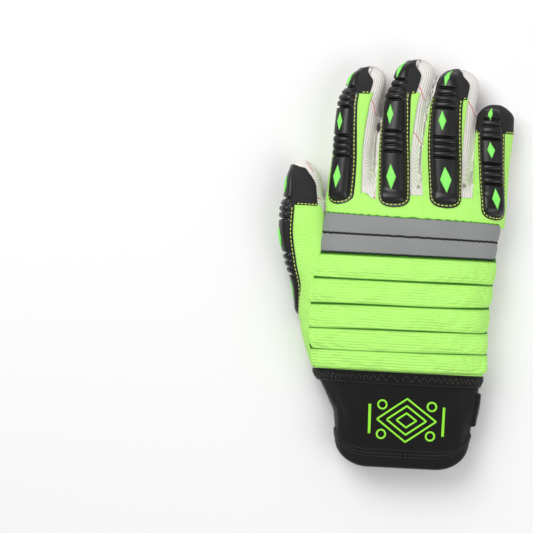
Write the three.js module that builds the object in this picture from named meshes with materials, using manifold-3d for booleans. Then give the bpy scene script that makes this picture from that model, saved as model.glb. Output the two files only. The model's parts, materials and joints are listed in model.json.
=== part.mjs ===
// Impact glove for the right hand, lying palm down and filled out as if a hand were in it.
// Millimetres, +Z up, +Y from the wrist to the fingertips, +X towards the little finger.
// The working frame has Y = 0 at the seam of hand and cuff, X = 0 near the middle of the hand's
// width and Z = 0 on the surface that the glove rests on. The last lines move the whole glove so
// that its origin is the middle of its box, at the bottom.

import * as THREE from 'three';
import { mergeVertices } from 'three/addons/utils/BufferGeometryUtils.js';
import Module from 'manifold-3d';

const wasm = await Module();
wasm.setup();

// Sizes of the hand and the fingers
const handLength = 108;
const handWidth = 113;
const handHeight = 33;
const fingerLength = 84;
const fingerHeight = 23.5;
const fingerArch = 2.2;
const thumbReach = 127.3;
const thumbWidth = 24.5;
const thumbHeight = 25.5;

// Sizes of the cloth, the cuff and the closure
const fabricWall = 2;
const cuffLength = 57;
const cuffWall = 3;
const cuffCornerRadius = 17;
const hemWidth = 10;
const hemThickness = 0.8;
const bandWidth = 7.5;
const bandThickness = 0.9;
const tabWidth = 28;
const tabThickness = 2.2;
const patchThickness = 0.9;
const patchMargin = 3;

// Sizes of the raised back
const pleatHeight = 3.4;
const stripThickness = 1.3;
const guardWidth = 17.5;
const guardFlange = 2.9;
const flangeThickness = 1.1;
const guardHeight = 4.2;
const ribDepth = 1.7;
const ribZone = 12;
const diamondLength = 16;
const diamondWidth = 6.6;
const diamondThickness = 0.7;

// Clearances: between cloth panels, and under what lies on the cloth
const seamGap = 0.3;
const seatGap = 0.3;

// Roundness of the cross-sections: 2 is an ellipse, more is squarer
const handRoundness = 2.6;
const fingerRoundness = 2.2;
const handSides = 20;
const fingerSides = 10;

// Colours and finishes
function finish(color, roughness, metalness = 0) {
  return new THREE.MeshStandardMaterial({ color, roughness, metalness });
}

const fluorescentGreen = finish(0x9bef4e, 0.85);
const whiteCotton = finish(0xeee8e2, 0.95);
const blackLeather = finish(0x2a2a2a, 0.7);
const blackRubber = finish(0x171717, 0.4);
const greenRubber = finish(0x7ff05f, 0.5);
const greyReflective = finish(0x96989a, 0.45, 0.2);
const blackNeoprene = finish(0x1b1b1a, 0.9);
const blackHookLoop = finish(0x24252b, 1);

// Rows of numbers under a row that names the columns
function table(columns, ...rows) {
  return rows.map((row) => Object.fromEntries(columns.map((column, i) => [column, row[i]])));
}

function byName(rows) {
  return Object.fromEntries(rows.map((row) => [row.name, row]));
}

// Sections of the hand. y is a share of handLength, left and right are shares of handWidth, height
// is a share of handHeight, and floor lifts the underside by a share of handHeight.
const handSections = [
  { y: 0.0, left: -0.463, right: 0.449, height: 0.84, floor: 0.1 },
  { y: 0.11, left: -0.504, right: 0.447, height: 0.92, floor: 0.035 },
  { y: 0.24, left: -0.538, right: 0.446, height: 0.98, floor: 0 },
  { y: 0.4, left: -0.544, right: 0.448, height: 1.0, floor: 0 },
  { y: 0.6, left: -0.511, right: 0.467, height: 0.985, floor: 0 },
  { y: 0.75, left: -0.471, right: 0.479, height: 0.95, floor: 0 },
  { y: 0.87, left: -0.45, right: 0.497, height: 0.895, floor: 0 },
  { y: 1.0, left: -0.436, right: 0.52, height: 0.785, floor: 0.02 },
  { y: 1.04, left: -0.42, right: 0.508, height: 0.68, floor: 0.06 },
  { y: 1.075, left: -0.4, right: 0.49, height: 0.52, floor: 0.14 },
];

// The four fingers. x is the root's middle and the widths are shares of handWidth, length is a
// share of fingerLength, lean is how far the tip swings to +X as a share of handWidth, and height is
// a share of fingerHeight. The widths are at the root, a third of the way up and below the tip.
const fingers = table(
  ['name', 'x', 'length', 'root', 'waist', 'top', 'lean', 'height'],
  ['index', -0.309, 0.932, 0.248, 0.215, 0.205, 0.076, 0.94],
  ['middle', -0.06, 1.0, 0.243, 0.245, 0.229, 0.083, 0.98],
  ['ring', 0.188, 0.939, 0.245, 0.285, 0.264, 0.053, 1.0],
  ['little', 0.436, 0.686, 0.186, 0.19, 0.207, 0.014, 0.81],
);

// Sections up every finger. at is a share of its length; root, waist and top say how much each of
// the finger's widths counts; height, lean and arch are shares of the finger's own.
const fingerSections = [
  { at: -0.22, root: 0.94, waist: 0, top: 0, height: 0.9, lean: 0, arch: 1 },
  { at: 0, root: 1, waist: 0, top: 0, height: 1, lean: 0, arch: 0.9 },
  { at: 0.33, root: 0, waist: 1, top: 0, height: 1, lean: 0.05, arch: 0.6 },
  { at: 0.68, root: 0, waist: 0, top: 1, height: 0.98, lean: 0.38, arch: 0.2 },
  { at: 0.85, root: 0, waist: 0, top: 0.94, height: 0.9, lean: 0.8, arch: 0.1 },
  { at: 0.93, root: 0, waist: 0, top: 0.81, height: 0.75, lean: 0.93, arch: 0 },
  { at: 0.98, root: 0, waist: 0, top: 0.5, height: 0.46, lean: 0.98, arch: -0.2 },
  { at: 1, root: 0, waist: 0, top: 0.12, height: 0.12, lean: 1, arch: -0.2 },
];

// Sections of the thumb. y is a share of thumbReach, x a share of handWidth, width a share of
// thumbWidth and height a share of thumbHeight.
const thumbSections = [
  { y: 0.19, x: -0.415, width: 1.15, height: 0.86 },
  { y: 0.36, x: -0.434, width: 1.13, height: 0.95 },
  { y: 0.505, x: -0.492, width: 1.1, height: 1 },
  { y: 0.66, x: -0.541, width: 1.03, height: 1 },
  { y: 0.77, x: -0.55, width: 0.95, height: 0.96 },
  { y: 0.865, x: -0.556, width: 0.835, height: 0.88 },
  { y: 0.935, x: -0.561, width: 0.65, height: 0.7 },
  { y: 0.98, x: -0.568, width: 0.35, height: 0.42 },
  { y: 1, x: -0.572, width: 0.1, height: 0.12 },
];

// What the guards, caps and back strips of each digit follow, in degrees round the digit from
// straight up towards -X. low, middle and high are the guard's turn at its lower end, half way and
// at the tip; capFrom, capTo, clothFrom and clothTo bound the leather cap and the green cloth.
const turns = byName(
  table(
    ['name', 'low', 'middle', 'high', 'capFrom', 'capTo', 'clothFrom', 'clothTo'],
    ['index', 26, 31, 72, -12, 105, -22, 112],
    ['middle', 11, 24, 58, -12, 72, -24, 66],
    ['ring', -6, 8, 29, -30, 58, -34, 62],
    ['little', -22, -1, 16, -84, 72, -98, 70],
    ['thumb', 98, 76, 80, -36, 135, -45, 138],
  ),
);

// Where each guard's features lie, as shares of the way from the crotch line, or for the thumb from
// the cuff seam, to the tip. low and high are the guard's ends and cap the leather cap's lower seam.
const layouts = byName(
  table(
    ['name', 'low', 'base', 'ribsLow', 'mid', 'ribsHigh', 'tip', 'high', 'cap'],
    ['index', -0.098, 0.117, 0.358, 0.548, 0.741, 0.879, 0.975, 0.77],
    ['middle', -0.094, 0.126, 0.383, 0.58, 0.763, 0.905, 0.978, 0.735],
    ['ring', -0.087, 0.131, 0.381, 0.587, 0.764, 0.917, 0.98, 0.755],
    ['little', -0.219, 0.007, 0.269, 0.522, 0.744, 0.9, 0.985, 0.7],
    ['thumb', 0.225, 0.352, 0.493, 0.614, 0.756, 0.87, 0.965, 0.772],
  ),
);
const guardSizes = { index: 1, middle: 1, ring: 1, little: 0.9, thumb: 1 };
const diamondSizes = { base: 1, mid: 0.78, tip: 0.62 };

// A guard's first rows: past is the distance from its lower end in flange widths
const guardFoot = table(
  ['past', 'half', 'core'],
  [0, 0.6, 0.26],
  [1, 1, 0.26],
  [1.5, 1, 1],
);

// A guard's plain rows beyond its foot. from is a place in the layouts, past the distance past it
// as a share of ribZone, half a share of half the guard's width and core a share of guardHeight.
const guardBody = table(
  ['from', 'past', 'half', 'core'],
  ['base', 0, 1, 1],
  ['ribsLow', -0.58, 1, 1],
  ['ribsLow', 0.58, 1, 1],
  ['mid', 0, 1, 1],
  ['ribsHigh', -0.58, 1, 1],
  ['ribsHigh', 0.58, 0.85, 0.85],
  ['tip', 0, 0.78, 0.68],
  ['high', 0, 0.45, 0.26],
);

// Steps across a set of ribs: the odd ones are grooves
const ribSteps = [-3, -2, -1, 0, 1, 2, 3];
const ribStep = ribZone / ribSteps.length;

// A guard's core: the width of its flat top, its least width, and the least bend radius under it
const coreTop = 0.72;
const coreLeast = 0.4;
const bendRadius = guardWidth / 3;

// A diamond's rows as shares of half its length, the blunt width of its ends, and how much
// narrower its top is than its foot
const diamondRows = [-1, -0.5, 0, 0.5, 1];
const diamondBlunt = 0.08;
const diamondTaper = 0.86;

// The seam between the thumb's panel and the back. y is a share of handLength, x of handWidth.
const thumbSeam = [
  { y: -0.1, x: -0.45 },
  { y: 0, x: -0.462 },
  { y: 0.125, x: -0.482 },
  { y: 0.24, x: -0.496 },
  { y: 0.38, x: -0.503 },
  { y: 0.52, x: -0.502 },
  { y: 0.66, x: -0.47 },
  { y: 0.885, x: -0.444 },
  { y: 1.3, x: -0.444 },
];

// Edges of the five pleats and the two reflective strips, from the cuff up, as shares of
// handLength at the thumb's side (left) and at the little finger's side (right).
const backEdges = [
  { left: 0.006, right: 0.02 },
  { left: 0.115, right: 0.132 },
  { left: 0.236, right: 0.256 },
  { left: 0.374, right: 0.396 },
  { left: 0.522, right: 0.525 },
  { left: 0.659, right: 0.662 },
  { left: 0.768, right: 0.757 },
  { left: 0.884, right: 0.857 },
];
const pleatCount = 5;

// Profile of a pleat from its lower lip to its upper, tucked edge. at is a share of its depth and
// height a share of pleatHeight.
const pleatProfile = [
  { at: 0, height: 0.4 },
  { at: 0.1, height: 0.88 },
  { at: 0.45, height: 1 },
  { at: 1, height: 0.35 },
];

// Sections of the cuff. at is a share of cuffLength down from the seam, left and right are shares
// of handWidth, height and floor are shares of handHeight.
const cuffSections = [
  { at: 0, left: -0.463, right: 0.449, height: 0.84, floor: 0.1 },
  { at: 0.14, left: -0.429, right: 0.432, height: 0.82, floor: 0.135 },
  { at: 0.36, left: -0.374, right: 0.422, height: 0.78, floor: 0.135 },
  { at: 0.56, left: -0.337, right: 0.413, height: 0.765, floor: 0.135 },
  { at: 1, left: -0.33, right: 0.396, height: 0.74, floor: 0.135 },
];
const cornerStart = 0.5;
const tabFrom = -72;
const tabTo = -211;
const patchFrom = -140;
const patchTo = -222;

// Numbers that the tables' rows are read with: a value part way between two rows
function valueAt(rows, key, column, at) {
  const last = rows.length - 1;
  let i = 0;
  while (i < last - 1 && at > rows[i + 1][key]) i += 1;
  const share = THREE.MathUtils.clamp((at - rows[i][key]) / (rows[i + 1][key] - rows[i][key]), 0, 1);
  return THREE.MathUtils.lerp(rows[i][column], rows[i + 1][column], share);
}

// One digit is a list of stations: y, the middle (x, z), half the width, the height above the
// middle, the depth below it and the floor under it
function fingerStations(finger) {
  const height = finger.height * fingerHeight;
  return fingerSections.map((row) => ({
    y: handLength + row.at * finger.length * fingerLength,
    x: (finger.x + row.lean * finger.lean) * handWidth,
    z: height / 2 + row.arch * fingerArch,
    w: ((row.root * finger.root + row.waist * finger.waist + row.top * finger.top) * handWidth) / 2,
    h: (row.height * height) / 2,
    deep: (row.height * height) / 2,
    floor: 0,
  }));
}

function thumbStations() {
  return thumbSections.map((row) => ({
    y: row.y * thumbReach,
    x: row.x * handWidth,
    z: thumbHeight / 2,
    w: (row.width * thumbWidth) / 2,
    h: (row.height * thumbHeight) / 2,
    deep: (row.height * thumbHeight) / 2,
    floor: 0,
  }));
}

// Share of the hand's height at which it is widest, and how far its round underside is cut flat
const widestHeight = 0.42;
const flatten = 1.2;

function handStations() {
  return handSections.map((row) => {
    const middle = widestHeight * handHeight;
    const top = row.height * handHeight;
    return {
      y: row.y * handLength,
      x: ((row.left + row.right) / 2) * handWidth,
      z: middle,
      w: ((row.right - row.left) / 2) * handWidth,
      h: top - middle,
      deep: middle - row.floor * handHeight + flatten,
      floor: row.floor * handHeight,
    };
  });
}

function cuffStations() {
  return cuffSections.map((row) => {
    const middle = widestHeight * handHeight;
    return {
      at: row.at,
      x: ((row.left + row.right) / 2) * handWidth,
      z: middle,
      w: ((row.right - row.left) / 2) * handWidth,
      h: row.height * handHeight - middle,
      deep: middle - row.floor * handHeight + flatten,
      floor: row.floor * handHeight,
    };
  });
}

const digits = Object.fromEntries(fingers.map((finger) => [finger.name, fingerStations(finger)]));
digits.thumb = thumbStations();
const digitNames = Object.keys(digits);
const hand = handStations();
const cuff = cuffStations();

function stationAt(stations, key, at) {
  const columns = ['x', 'z', 'w', 'h', 'deep', 'floor'];
  return Object.fromEntries(columns.map((column) => [column, valueAt(stations, key, column, at)]));
}

// The least half width and half height of a section, so that a shrunk tip stays a solid
const leastHalf = 0.6;

// A point on a rounded section, turn degrees from straight up towards -X, grown outwards by grow.
// The underside is flat: no point is lower than the section's floor.
function sectionPoint(station, y, turn, grow, roundness) {
  const angle = THREE.MathUtils.degToRad(turn);
  const side = Math.sin(angle);
  const up = Math.cos(angle);
  const power = 2 / roundness;
  const w = Math.max(station.w + grow, leastHalf);
  const h = Math.max((up < 0 ? station.deep : station.h) + grow, leastHalf);
  const x = station.x - w * Math.sign(side) * Math.abs(side) ** power;
  const z = station.z + h * Math.sign(up) * Math.abs(up) ** power;
  return new THREE.Vector3(x, y, Math.max(z, station.floor - grow));
}

function digitPoint(stations, y, turn, grow) {
  return sectionPoint(stationAt(stations, 'y', y), y, turn, grow, fingerRoundness);
}

function handPoint(y, turn, grow) {
  return sectionPoint(stationAt(hand, 'y', y), y, turn, grow, handRoundness);
}

// The cuff's lower edge is rounded up towards both sides, so a row of the cuff isn't at one y
function cuffPoint(at, turn, grow) {
  const point = sectionPoint(stationAt(cuff, 'at', at), 0, turn, grow, handRoundness);
  const end = cuff[cuff.length - 1];
  const across = Math.min(Math.abs(point.x - end.x) / end.w, 1);
  const share = Math.max((across - cornerStart) / (1 - cornerStart), 0);
  const rise = cuffCornerRadius * (1 - Math.sqrt(1 - share * share));
  point.y = -at * (cuffLength - at * rise);
  return point;
}

// The height of the hand's back over a place in plan
function handTop(x, y, grow) {
  const station = stationAt(hand, 'y', y);
  const across = Math.min(Math.abs(x - station.x) / (station.w + grow), 1);
  return station.z + (station.h + grow) * (1 - across ** handRoundness) ** (1 / handRoundness);
}

// A closed mesh from triangles, turned so that its faces point out
function meshFrom(points, faces) {
  let volume = 0;
  for (const [a, b, c] of faces) {
    volume += points[a].dot(new THREE.Vector3().crossVectors(points[b], points[c]));
  }
  const index = volume < 0 ? faces.flatMap(([a, b, c]) => [a, c, b]) : faces.flat();
  const geometry = new THREE.BufferGeometry().setFromPoints(points);
  geometry.setIndex(index);
  return geometry;
}

// A solid carried through closed rings of points, closed by a fan at each end
function loft(rings) {
  const sides = rings[0].length;
  const points = rings.flat();
  const faces = [];
  for (let r = 0; r + 1 < rings.length; r += 1) {
    for (let i = 0; i < sides; i += 1) {
      const a = r * sides + i;
      const b = r * sides + ((i + 1) % sides);
      faces.push([a, b, b + sides], [a, b + sides, a + sides]);
    }
  }
  for (const r of [0, rings.length - 1]) {
    const middle = points.length;
    points.push(rings[r].reduce((sum, p) => sum.add(p), new THREE.Vector3()).divideScalar(sides));
    for (let i = 0; i < sides; i += 1) {
      const a = r * sides + i;
      const b = r * sides + ((i + 1) % sides);
      faces.push(r === 0 ? [b, a, middle] : [a, b, middle]);
    }
  }
  return meshFrom(points, faces);
}

// A band that closes on itself: every ring is the band's own small section
function closedBand(rings) {
  const sides = rings[0].length;
  const points = rings.flat();
  const faces = [];
  rings.forEach((ring, r) => {
    const next = (r + 1) % rings.length;
    for (let i = 0; i < sides; i += 1) {
      const j = (i + 1) % sides;
      faces.push([r * sides + i, r * sides + j, next * sides + j]);
      faces.push([r * sides + i, next * sides + j, next * sides + i]);
    }
  });
  return meshFrom(points, faces);
}

// A slab between an upper and a lower grid of points with the same rows and columns
function slab(upper, lower) {
  const rows = upper.length;
  const columns = upper[0].length;
  const points = [...upper.flat(), ...lower.flat()];
  const low = rows * columns;
  const faces = [];
  const quad = (a, b, c, d) => faces.push([a, b, c], [a, c, d]);
  for (let r = 0; r + 1 < rows; r += 1) {
    for (let c = 0; c + 1 < columns; c += 1) {
      const a = r * columns + c;
      quad(a, a + 1, a + columns + 1, a + columns);
      quad(low + a, low + a + columns, low + a + columns + 1, low + a + 1);
    }
  }
  for (let r = 0; r + 1 < rows; r += 1) {
    const a = r * columns;
    const b = a + columns - 1;
    quad(a, a + columns, low + a + columns, low + a);
    quad(b + columns, b, low + b, low + b + columns);
  }
  for (let c = 0; c + 1 < columns; c += 1) {
    const a = c;
    const b = (rows - 1) * columns + c;
    quad(a + 1, a, low + a, low + a + 1);
    quad(b, b + 1, low + b + 1, low + b);
  }
  return meshFrom(points, faces);
}

// Exact joining and cutting. Corners closer than weldGap are one corner before a cut, and corners
// closer than cornerMerge after it, which takes out the slivers that a cut can leave.
const weldGap = 1e-4;
const cornerMerge = 0.01;

function solidOf(geometry) {
  const bare = new THREE.BufferGeometry();
  bare.setAttribute('position', geometry.getAttribute('position'));
  bare.setIndex(geometry.getIndex());
  const merged = mergeVertices(bare, weldGap);
  return new wasm.Manifold(
    new wasm.Mesh({
      numProp: 3,
      vertProperties: new Float32Array(merged.getAttribute('position').array),
      triVerts: new Uint32Array(merged.getIndex().array),
    }),
  );
}

function geometryOf(solid) {
  const mesh = solid.getMesh();
  const cut = new THREE.BufferGeometry();
  cut.setAttribute('position', new THREE.BufferAttribute(mesh.vertProperties, 3));
  cut.setIndex(new THREE.BufferAttribute(mesh.triVerts, 1));
  const geometry = mergeVertices(cut, cornerMerge);
  const index = Array.from(geometry.getIndex().array);
  const faces = [];
  for (let i = 0; i < index.length; i += 3) {
    const [a, b, c] = index.slice(i, i + 3);
    if (a !== b && b !== c && c !== a) faces.push(a, b, c);
  }
  geometry.setIndex(faces);
  return geometry;
}

function joined(solids) {
  return solids.reduce((sum, solid) => sum.add(solid));
}

function turnsRound(sides) {
  return Array.from({ length: sides }, (_, i) => (360 * i) / sides);
}

function steps(from, to, count) {
  return Array.from({ length: count + 1 }, (_, i) => THREE.MathUtils.lerp(from, to, i / count));
}

// How many of a digit's last stations round off its tip
const roundedStations = 4;

// Full forms, grown or shrunk by a wall or a clearance. Near a tip the growth also moves the end.
function digitSolid(stations, grow) {
  const tip = stations[stations.length - 1].y;
  const rounding = tip - stations[stations.length - roundedStations].y;
  const rings = stations.map((station) => {
    const near = Math.max(1 - (tip - station.y) / rounding, 0);
    return turnsRound(fingerSides).map((turn) => {
      const point = digitPoint(stations, station.y, turn, grow);
      point.y += grow * near;
      return point;
    });
  });
  return solidOf(loft(rings));
}

// The hand's form starts below the seam by run, so that the hollow runs out of the wrist
function handSolid(grow, run) {
  const end = hand[hand.length - 1].y;
  const rings = hand.map((station, i) => {
    const y = i === 0 ? station.y - run : Math.min(station.y, end + Math.min(grow, 0));
    return turnsRound(handSides).map((turn) => {
      const point = handPoint(station.y, turn, grow);
      point.y = i === hand.length - 1 ? station.y + grow : y;
      return point;
    });
  });
  return solidOf(loft(rings));
}

// Zones that bound the cloth panels. A digit's zone is a wedge from its axis out past its skin,
// by zoneReach, in steps of up to zoneStep degrees. At its root it reaches rootReach past it, to
// take in the rounded front of the hand.
const zoneReach = fabricWall / 2;
const rootReach = 3 * fabricWall;
const rootTurn = 70;
const zoneStep = 32;

function digitZone(name, fromTurn, toTurn, fromY, toY, inset) {
  const stations = digits[name];
  const count = Math.ceil((toTurn - fromTurn) / zoneStep);
  const rootEnds = [handLength + rootReach - seamGap, handLength + rootReach + seamGap];
  const heights = [...stations.map((s) => s.y), ...rootEnds];
  const between = heights.filter((y) => y > fromY + fabricWall && y < toY - fabricWall);
  const cuts = [fromY + inset, ...between.sort((a, b) => a - b), toY - inset];
  const rings = cuts.map((y) => {
    const station = stationAt(stations, 'y', y);
    const slack = THREE.MathUtils.radToDeg(inset / Math.max(station.w, 2 * fabricWall));
    const outer = steps(fromTurn, toTurn, count).map((turn, k) => {
      const root = y < handLength + rootReach && Math.abs(turn) < rootTurn;
      const inward = slack * (1 - (2 * k) / count);
      return digitPoint(stations, y, turn + inward, (root ? rootReach : zoneReach) - inset);
    });
    return [new THREE.Vector3(station.x, y, station.z), ...outer];
  });
  return solidOf(loft(rings));
}

// The back of the hand lies above a plane that is low at the thumb's side and higher at the other,
// as shares of handHeight. Its cloth spans the whole width up to wholeTo, and from innerFrom to the
// finger seams at backTo it ends at the thumb's seam, as shares of handLength.
const seamHeightThumb = 0.14;
const seamHeightLittle = 0.38;
const wholeTo = 0.7;
const innerFrom = 0.5;
const backTo = 0.98;
const beyond = 2;

function handZone(inset) {
  const reach = beyond * handWidth;
  const slope = (seamHeightLittle - seamHeightThumb) / handWidth;
  const middle = (seamHeightLittle + seamHeightThumb) / 2;
  const seamZ = (x) => (middle + slope * x) * handHeight + inset;
  const outline = (x0, x1, y) => [
    new THREE.Vector3(x0, y, seamZ(x0)),
    new THREE.Vector3(x1, y, seamZ(x1)),
    new THREE.Vector3(x1, y, beyond * handHeight),
    new THREE.Vector3(x0, y, beyond * handHeight),
  ];
  const crotch = backTo * handLength - inset;
  const inner = valueAt(thumbSeam, 'y', 'x', 1) * handWidth;
  const whole = loft([outline(-reach, reach, -handLength), outline(-reach, reach, wholeTo * handLength)]);
  const upper = loft([outline(inner, reach, innerFrom * handLength), outline(inner, reach, crotch)]);
  return joined([solidOf(whole), solidOf(upper)]);
}

// Everything on the thumb's side of the thumb's seam
function thumbSide(inset) {
  const rings = thumbSeam.map((row) => {
    const x = row.x * handWidth - inset;
    const y = row.y * handLength;
    return [
      new THREE.Vector3(x, y, -handHeight),
      new THREE.Vector3(x, y, beyond * handHeight),
      new THREE.Vector3(-beyond * handWidth, y, beyond * handHeight),
      new THREE.Vector3(-beyond * handWidth, y, -handHeight),
    ];
  });
  return solidOf(loft(rings));
}

const seam = seamGap / 2;
const run = 2 * cuffWall;
const outerForms = digitNames.map((name) => digitSolid(digits[name], 0));
const innerForms = digitNames.map((name) => digitSolid(digits[name], -fabricWall));
const wristCut = solidOf(
  loft(
    [-handLength, seam].map((y) => [
      new THREE.Vector3(-beyond * handWidth, y, -handHeight),
      new THREE.Vector3(beyond * handWidth, y, -handHeight),
      new THREE.Vector3(beyond * handWidth, y, beyond * handHeight),
      new THREE.Vector3(-beyond * handWidth, y, beyond * handHeight),
    ]),
  ),
);
const grownHand = handSolid(seatGap, 0);
const grownDigits = Object.fromEntries(
  digitNames.map((name) => [name, digitSolid(digits[name], seatGap)]),
);
const shell = joined([handSolid(0, 0), ...outerForms])
  .subtract(joined([handSolid(-fabricWall, run), ...innerForms]))
  .subtract(wristCut);

function tipY(name) {
  return digits[name][digits[name].length - 1].y;
}

function placeOn(name, share) {
  const start = name === 'thumb' ? 0 : handLength;
  return THREE.MathUtils.lerp(start, tipY(name), share);
}

// A cap reaches from its seam past the tip, and the cloth from inside the hand to the cap's seam.
// The cloth of the fingers and of the thumb starts at these shares of handLength.
const fingerClothStart = 0.88;
const thumbClothStart = 0.45;

function capZone(name, inset) {
  const from = placeOn(name, layouts[name].cap);
  return digitZone(name, turns[name].capFrom, turns[name].capTo, from, tipY(name) + zoneReach, inset);
}

function clothZone(name, inset) {
  const from = (name === 'thumb' ? thumbClothStart : fingerClothStart) * handLength;
  const to = placeOn(name, layouts[name].cap);
  return digitZone(name, turns[name].clothFrom, turns[name].clothTo, from, to, inset);
}

function greenZone(inset) {
  return joined([handZone(inset), ...digitNames.map((name) => clothZone(name, inset))]);
}

function allCaps(inset) {
  return joined(digitNames.map((name) => capZone(name, inset)));
}

// The guard's turn round its digit at a height, through its low, middle and high values
function guardTurn(name, y) {
  const { low, middle, high } = turns[name];
  const from = placeOn(name, layouts[name].low);
  const to = placeOn(name, layouts[name].high);
  const share = THREE.MathUtils.clamp((y - from) / (to - from), 0, 1);
  const bend = 2 * (high + low - 2 * middle);
  return low + share * (high - low) + bend * share * (share - 1);
}

// A point over a digit: across is the distance from the guard's middle line, and lift the height
// over the cloth. Where the back of the hand is higher than the digit, the point rides on that.
function overDigit(name, y, across, lift) {
  const stations = digits[name];
  const station = stationAt(stations, 'y', y);
  const radius = Math.max((station.w + station.h) / 2, bendRadius);
  const turn = guardTurn(name, y) + THREE.MathUtils.radToDeg(across / radius);
  const point = digitPoint(stations, y, turn, lift);
  if (name !== 'thumb' && y < handLength) point.z = Math.max(point.z, handTop(point.x, y, lift));
  return point;
}

// The guard's rows from its lower end to the tip: y, half the width and the core's height
function guardRows(name) {
  const half = (guardSizes[name] * guardWidth) / 2;
  const place = (from) => placeOn(name, layouts[name][from]);
  const foot = guardFoot.map((row) => ({
    y: place('low') + row.past * guardFlange,
    half: row.half * half,
    core: row.core * guardHeight,
  }));
  const body = guardBody.map((row) => ({
    y: place(row.from) + row.past * ribZone,
    half: row.half * half,
    core: row.core * guardHeight,
  }));
  const ribs = ['ribsLow', 'ribsHigh'].flatMap((from) =>
    ribSteps.map((step) => ({
      y: place(from) + step * ribStep,
      half,
      core: guardHeight - (step % 2 === 0 ? 0 : ribDepth),
    })),
  );
  return [...foot, ...ribs, ...body].sort((a, b) => a.y - b.y);
}

// Half the core's width where the guard is a given width: the flange takes the rest
function coreHalf(row, name) {
  const flange = guardSizes[name] * guardFlange * Math.min((2 * row.half) / guardWidth, 1);
  return Math.max(row.half - flange, coreLeast * row.half);
}

// A guard's form, grown by a clearance. It reaches below the cloth, which is then cut out of it.
function guardForm(name, grow) {
  const rings = guardRows(name).map((row) => {
    const core = coreHalf(row, name) + grow;
    const half = row.half + grow;
    const shoulder = coreTop * core;
    const flange = seatGap + Math.min(flangeThickness, row.core) + grow;
    const top = seatGap + row.core + grow;
    const across = [-half, -core, -shoulder, shoulder, core, half, half, -half];
    const lifts = [flange, flange, top, top, flange, flange, -fabricWall, -fabricWall];
    return across.map((v, i) => overDigit(name, row.y, v, lifts[i]));
  });
  return solidOf(loft(rings));
}

function guardSolid(name) {
  return guardForm(name, 0).subtract(grownDigits[name]).subtract(grownHand);
}

// A point over a guard's top, which is straight between its rows and between its shoulders
function overGuard(name, y, across, lift) {
  const rows = guardRows(name);
  const above = rows.findIndex((row) => row.y > y);
  const next = above < 0 ? rows.length - 1 : Math.max(above, 1);
  const [low, high] = rows.slice(next - 1, next + 1).map((row) => {
    const shoulder = coreTop * coreHalf(row, name);
    const height = seatGap + row.core + lift;
    const [inner, outer] = [-shoulder, shoulder].map((v) => overDigit(name, row.y, v, height));
    return inner.lerp(outer, (across + shoulder) / (2 * shoulder));
  });
  return low.lerp(high, (y - rows[next - 1].y) / (rows[next].y - rows[next - 1].y));
}

// A diamond lies on the guard's core, its long way along the digit
function diamondSolid(name, place) {
  const size = diamondSizes[place] * guardSizes[name];
  const middle = placeOn(name, layouts[name][place]);
  const long = (size * diamondLength) / 2;
  const wide = (size * diamondWidth) / 2;
  const rings = diamondRows.map((t) => {
    const half = wide * Math.max(1 - Math.abs(t), diamondBlunt);
    const point = (v, share, lift) => overGuard(name, middle + share * t * long, share * v, lift);
    const top = seatGap + diamondThickness;
    return [
      point(-half, 1, -seatGap),
      point(half, 1, -seatGap),
      point(half, diamondTaper, top),
      point(-half, diamondTaper, top),
    ];
  });
  return solidOf(loft(rings)).subtract(guardForm(name, seatGap));
}

// The turn on the hand's section at which the back pieces end, beside the little finger's seam, and
// the least turn between two of their rings
const backEnd = -98;
const leastTurn = 1;

// The turn at which the back pieces start, beside the thumb's seam
function seamTurn(y) {
  const station = stationAt(hand, 'y', y);
  const seamX = valueAt(thumbSeam, 'y', 'x', y / handLength) * handWidth + 2 * seamGap;
  const across = THREE.MathUtils.clamp((station.x - seamX) / station.w, 0, 1);
  return THREE.MathUtils.radToDeg(Math.asin(across ** (handRoundness / 2)));
}

// The hand's own ring turns between two ends, so that a back piece has the same facets
function backTurns(from, to) {
  const step = 360 / handSides;
  const inside = [];
  for (let turn = Math.floor(from / step) * step; turn > to; turn -= step) {
    if (from - turn > leastTurn && turn - to > leastTurn) inside.push(turn);
  }
  return [from, ...inside, to];
}

// A back piece covers the hand between two of the back edges. profile gives its height. It reaches
// below the cloth, which is then cut out of it.
function backPiece(number, profile, thickness) {
  const low = backEdges[number];
  const high = backEdges[number + 1];
  const from = seamTurn(((low.left + high.left) / 2) * handLength);
  const rings = backTurns(from, backEnd).map((turn) => {
    const share = (from - turn) / (from - backEnd);
    const start = THREE.MathUtils.lerp(low.left, low.right, share) * handLength + seam;
    const end = THREE.MathUtils.lerp(high.left, high.right, share) * handLength - seam;
    const top = profile.map((row) => {
      const y = THREE.MathUtils.lerp(start, end, row.at);
      return handPoint(y, turn, seatGap + row.height * thickness);
    });
    return [...top, handPoint(end, turn, -seatGap), handPoint(start, turn, -seatGap)];
  });
  return solidOf(loft(rings)).subtract(grownHand).subtract(grownDigits.thumb);
}

const stripProfile = [
  { at: 0, height: 1 },
  { at: 1, height: 1 },
];

// The cuff: a tube with a thicker, turned-in hem, open at both ends
function cuffRing(at, grow) {
  return turnsRound(handSides).map((turn) => cuffPoint(at, turn, grow));
}

function cuffSolid() {
  const hemStart = 1 - hemWidth / cuffLength;
  const outer = cuffSections.map((row) => row.at).filter((at) => at < hemStart);
  const start = seam / cuffLength;
  outer[0] = start;
  const rings = outer.map((at) => cuffRing(at, 0));
  rings.push(cuffRing(hemStart, 0));
  rings.push(cuffRing(hemStart + hemThickness / cuffLength, hemThickness));
  rings.push(cuffRing(1, hemThickness));
  rings.push(cuffRing(1, -cuffWall));
  rings.push(...outer.toReversed().map((at) => cuffRing(at, -cuffWall)));
  const band = turnsRound(handSides).map((_, i) => rings.map((ring) => ring[i]));
  return solidOf(closedBand(band));
}

// The raised band round the cuff's upper edge
const bandSeat = 1.4 * seatGap;

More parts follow.
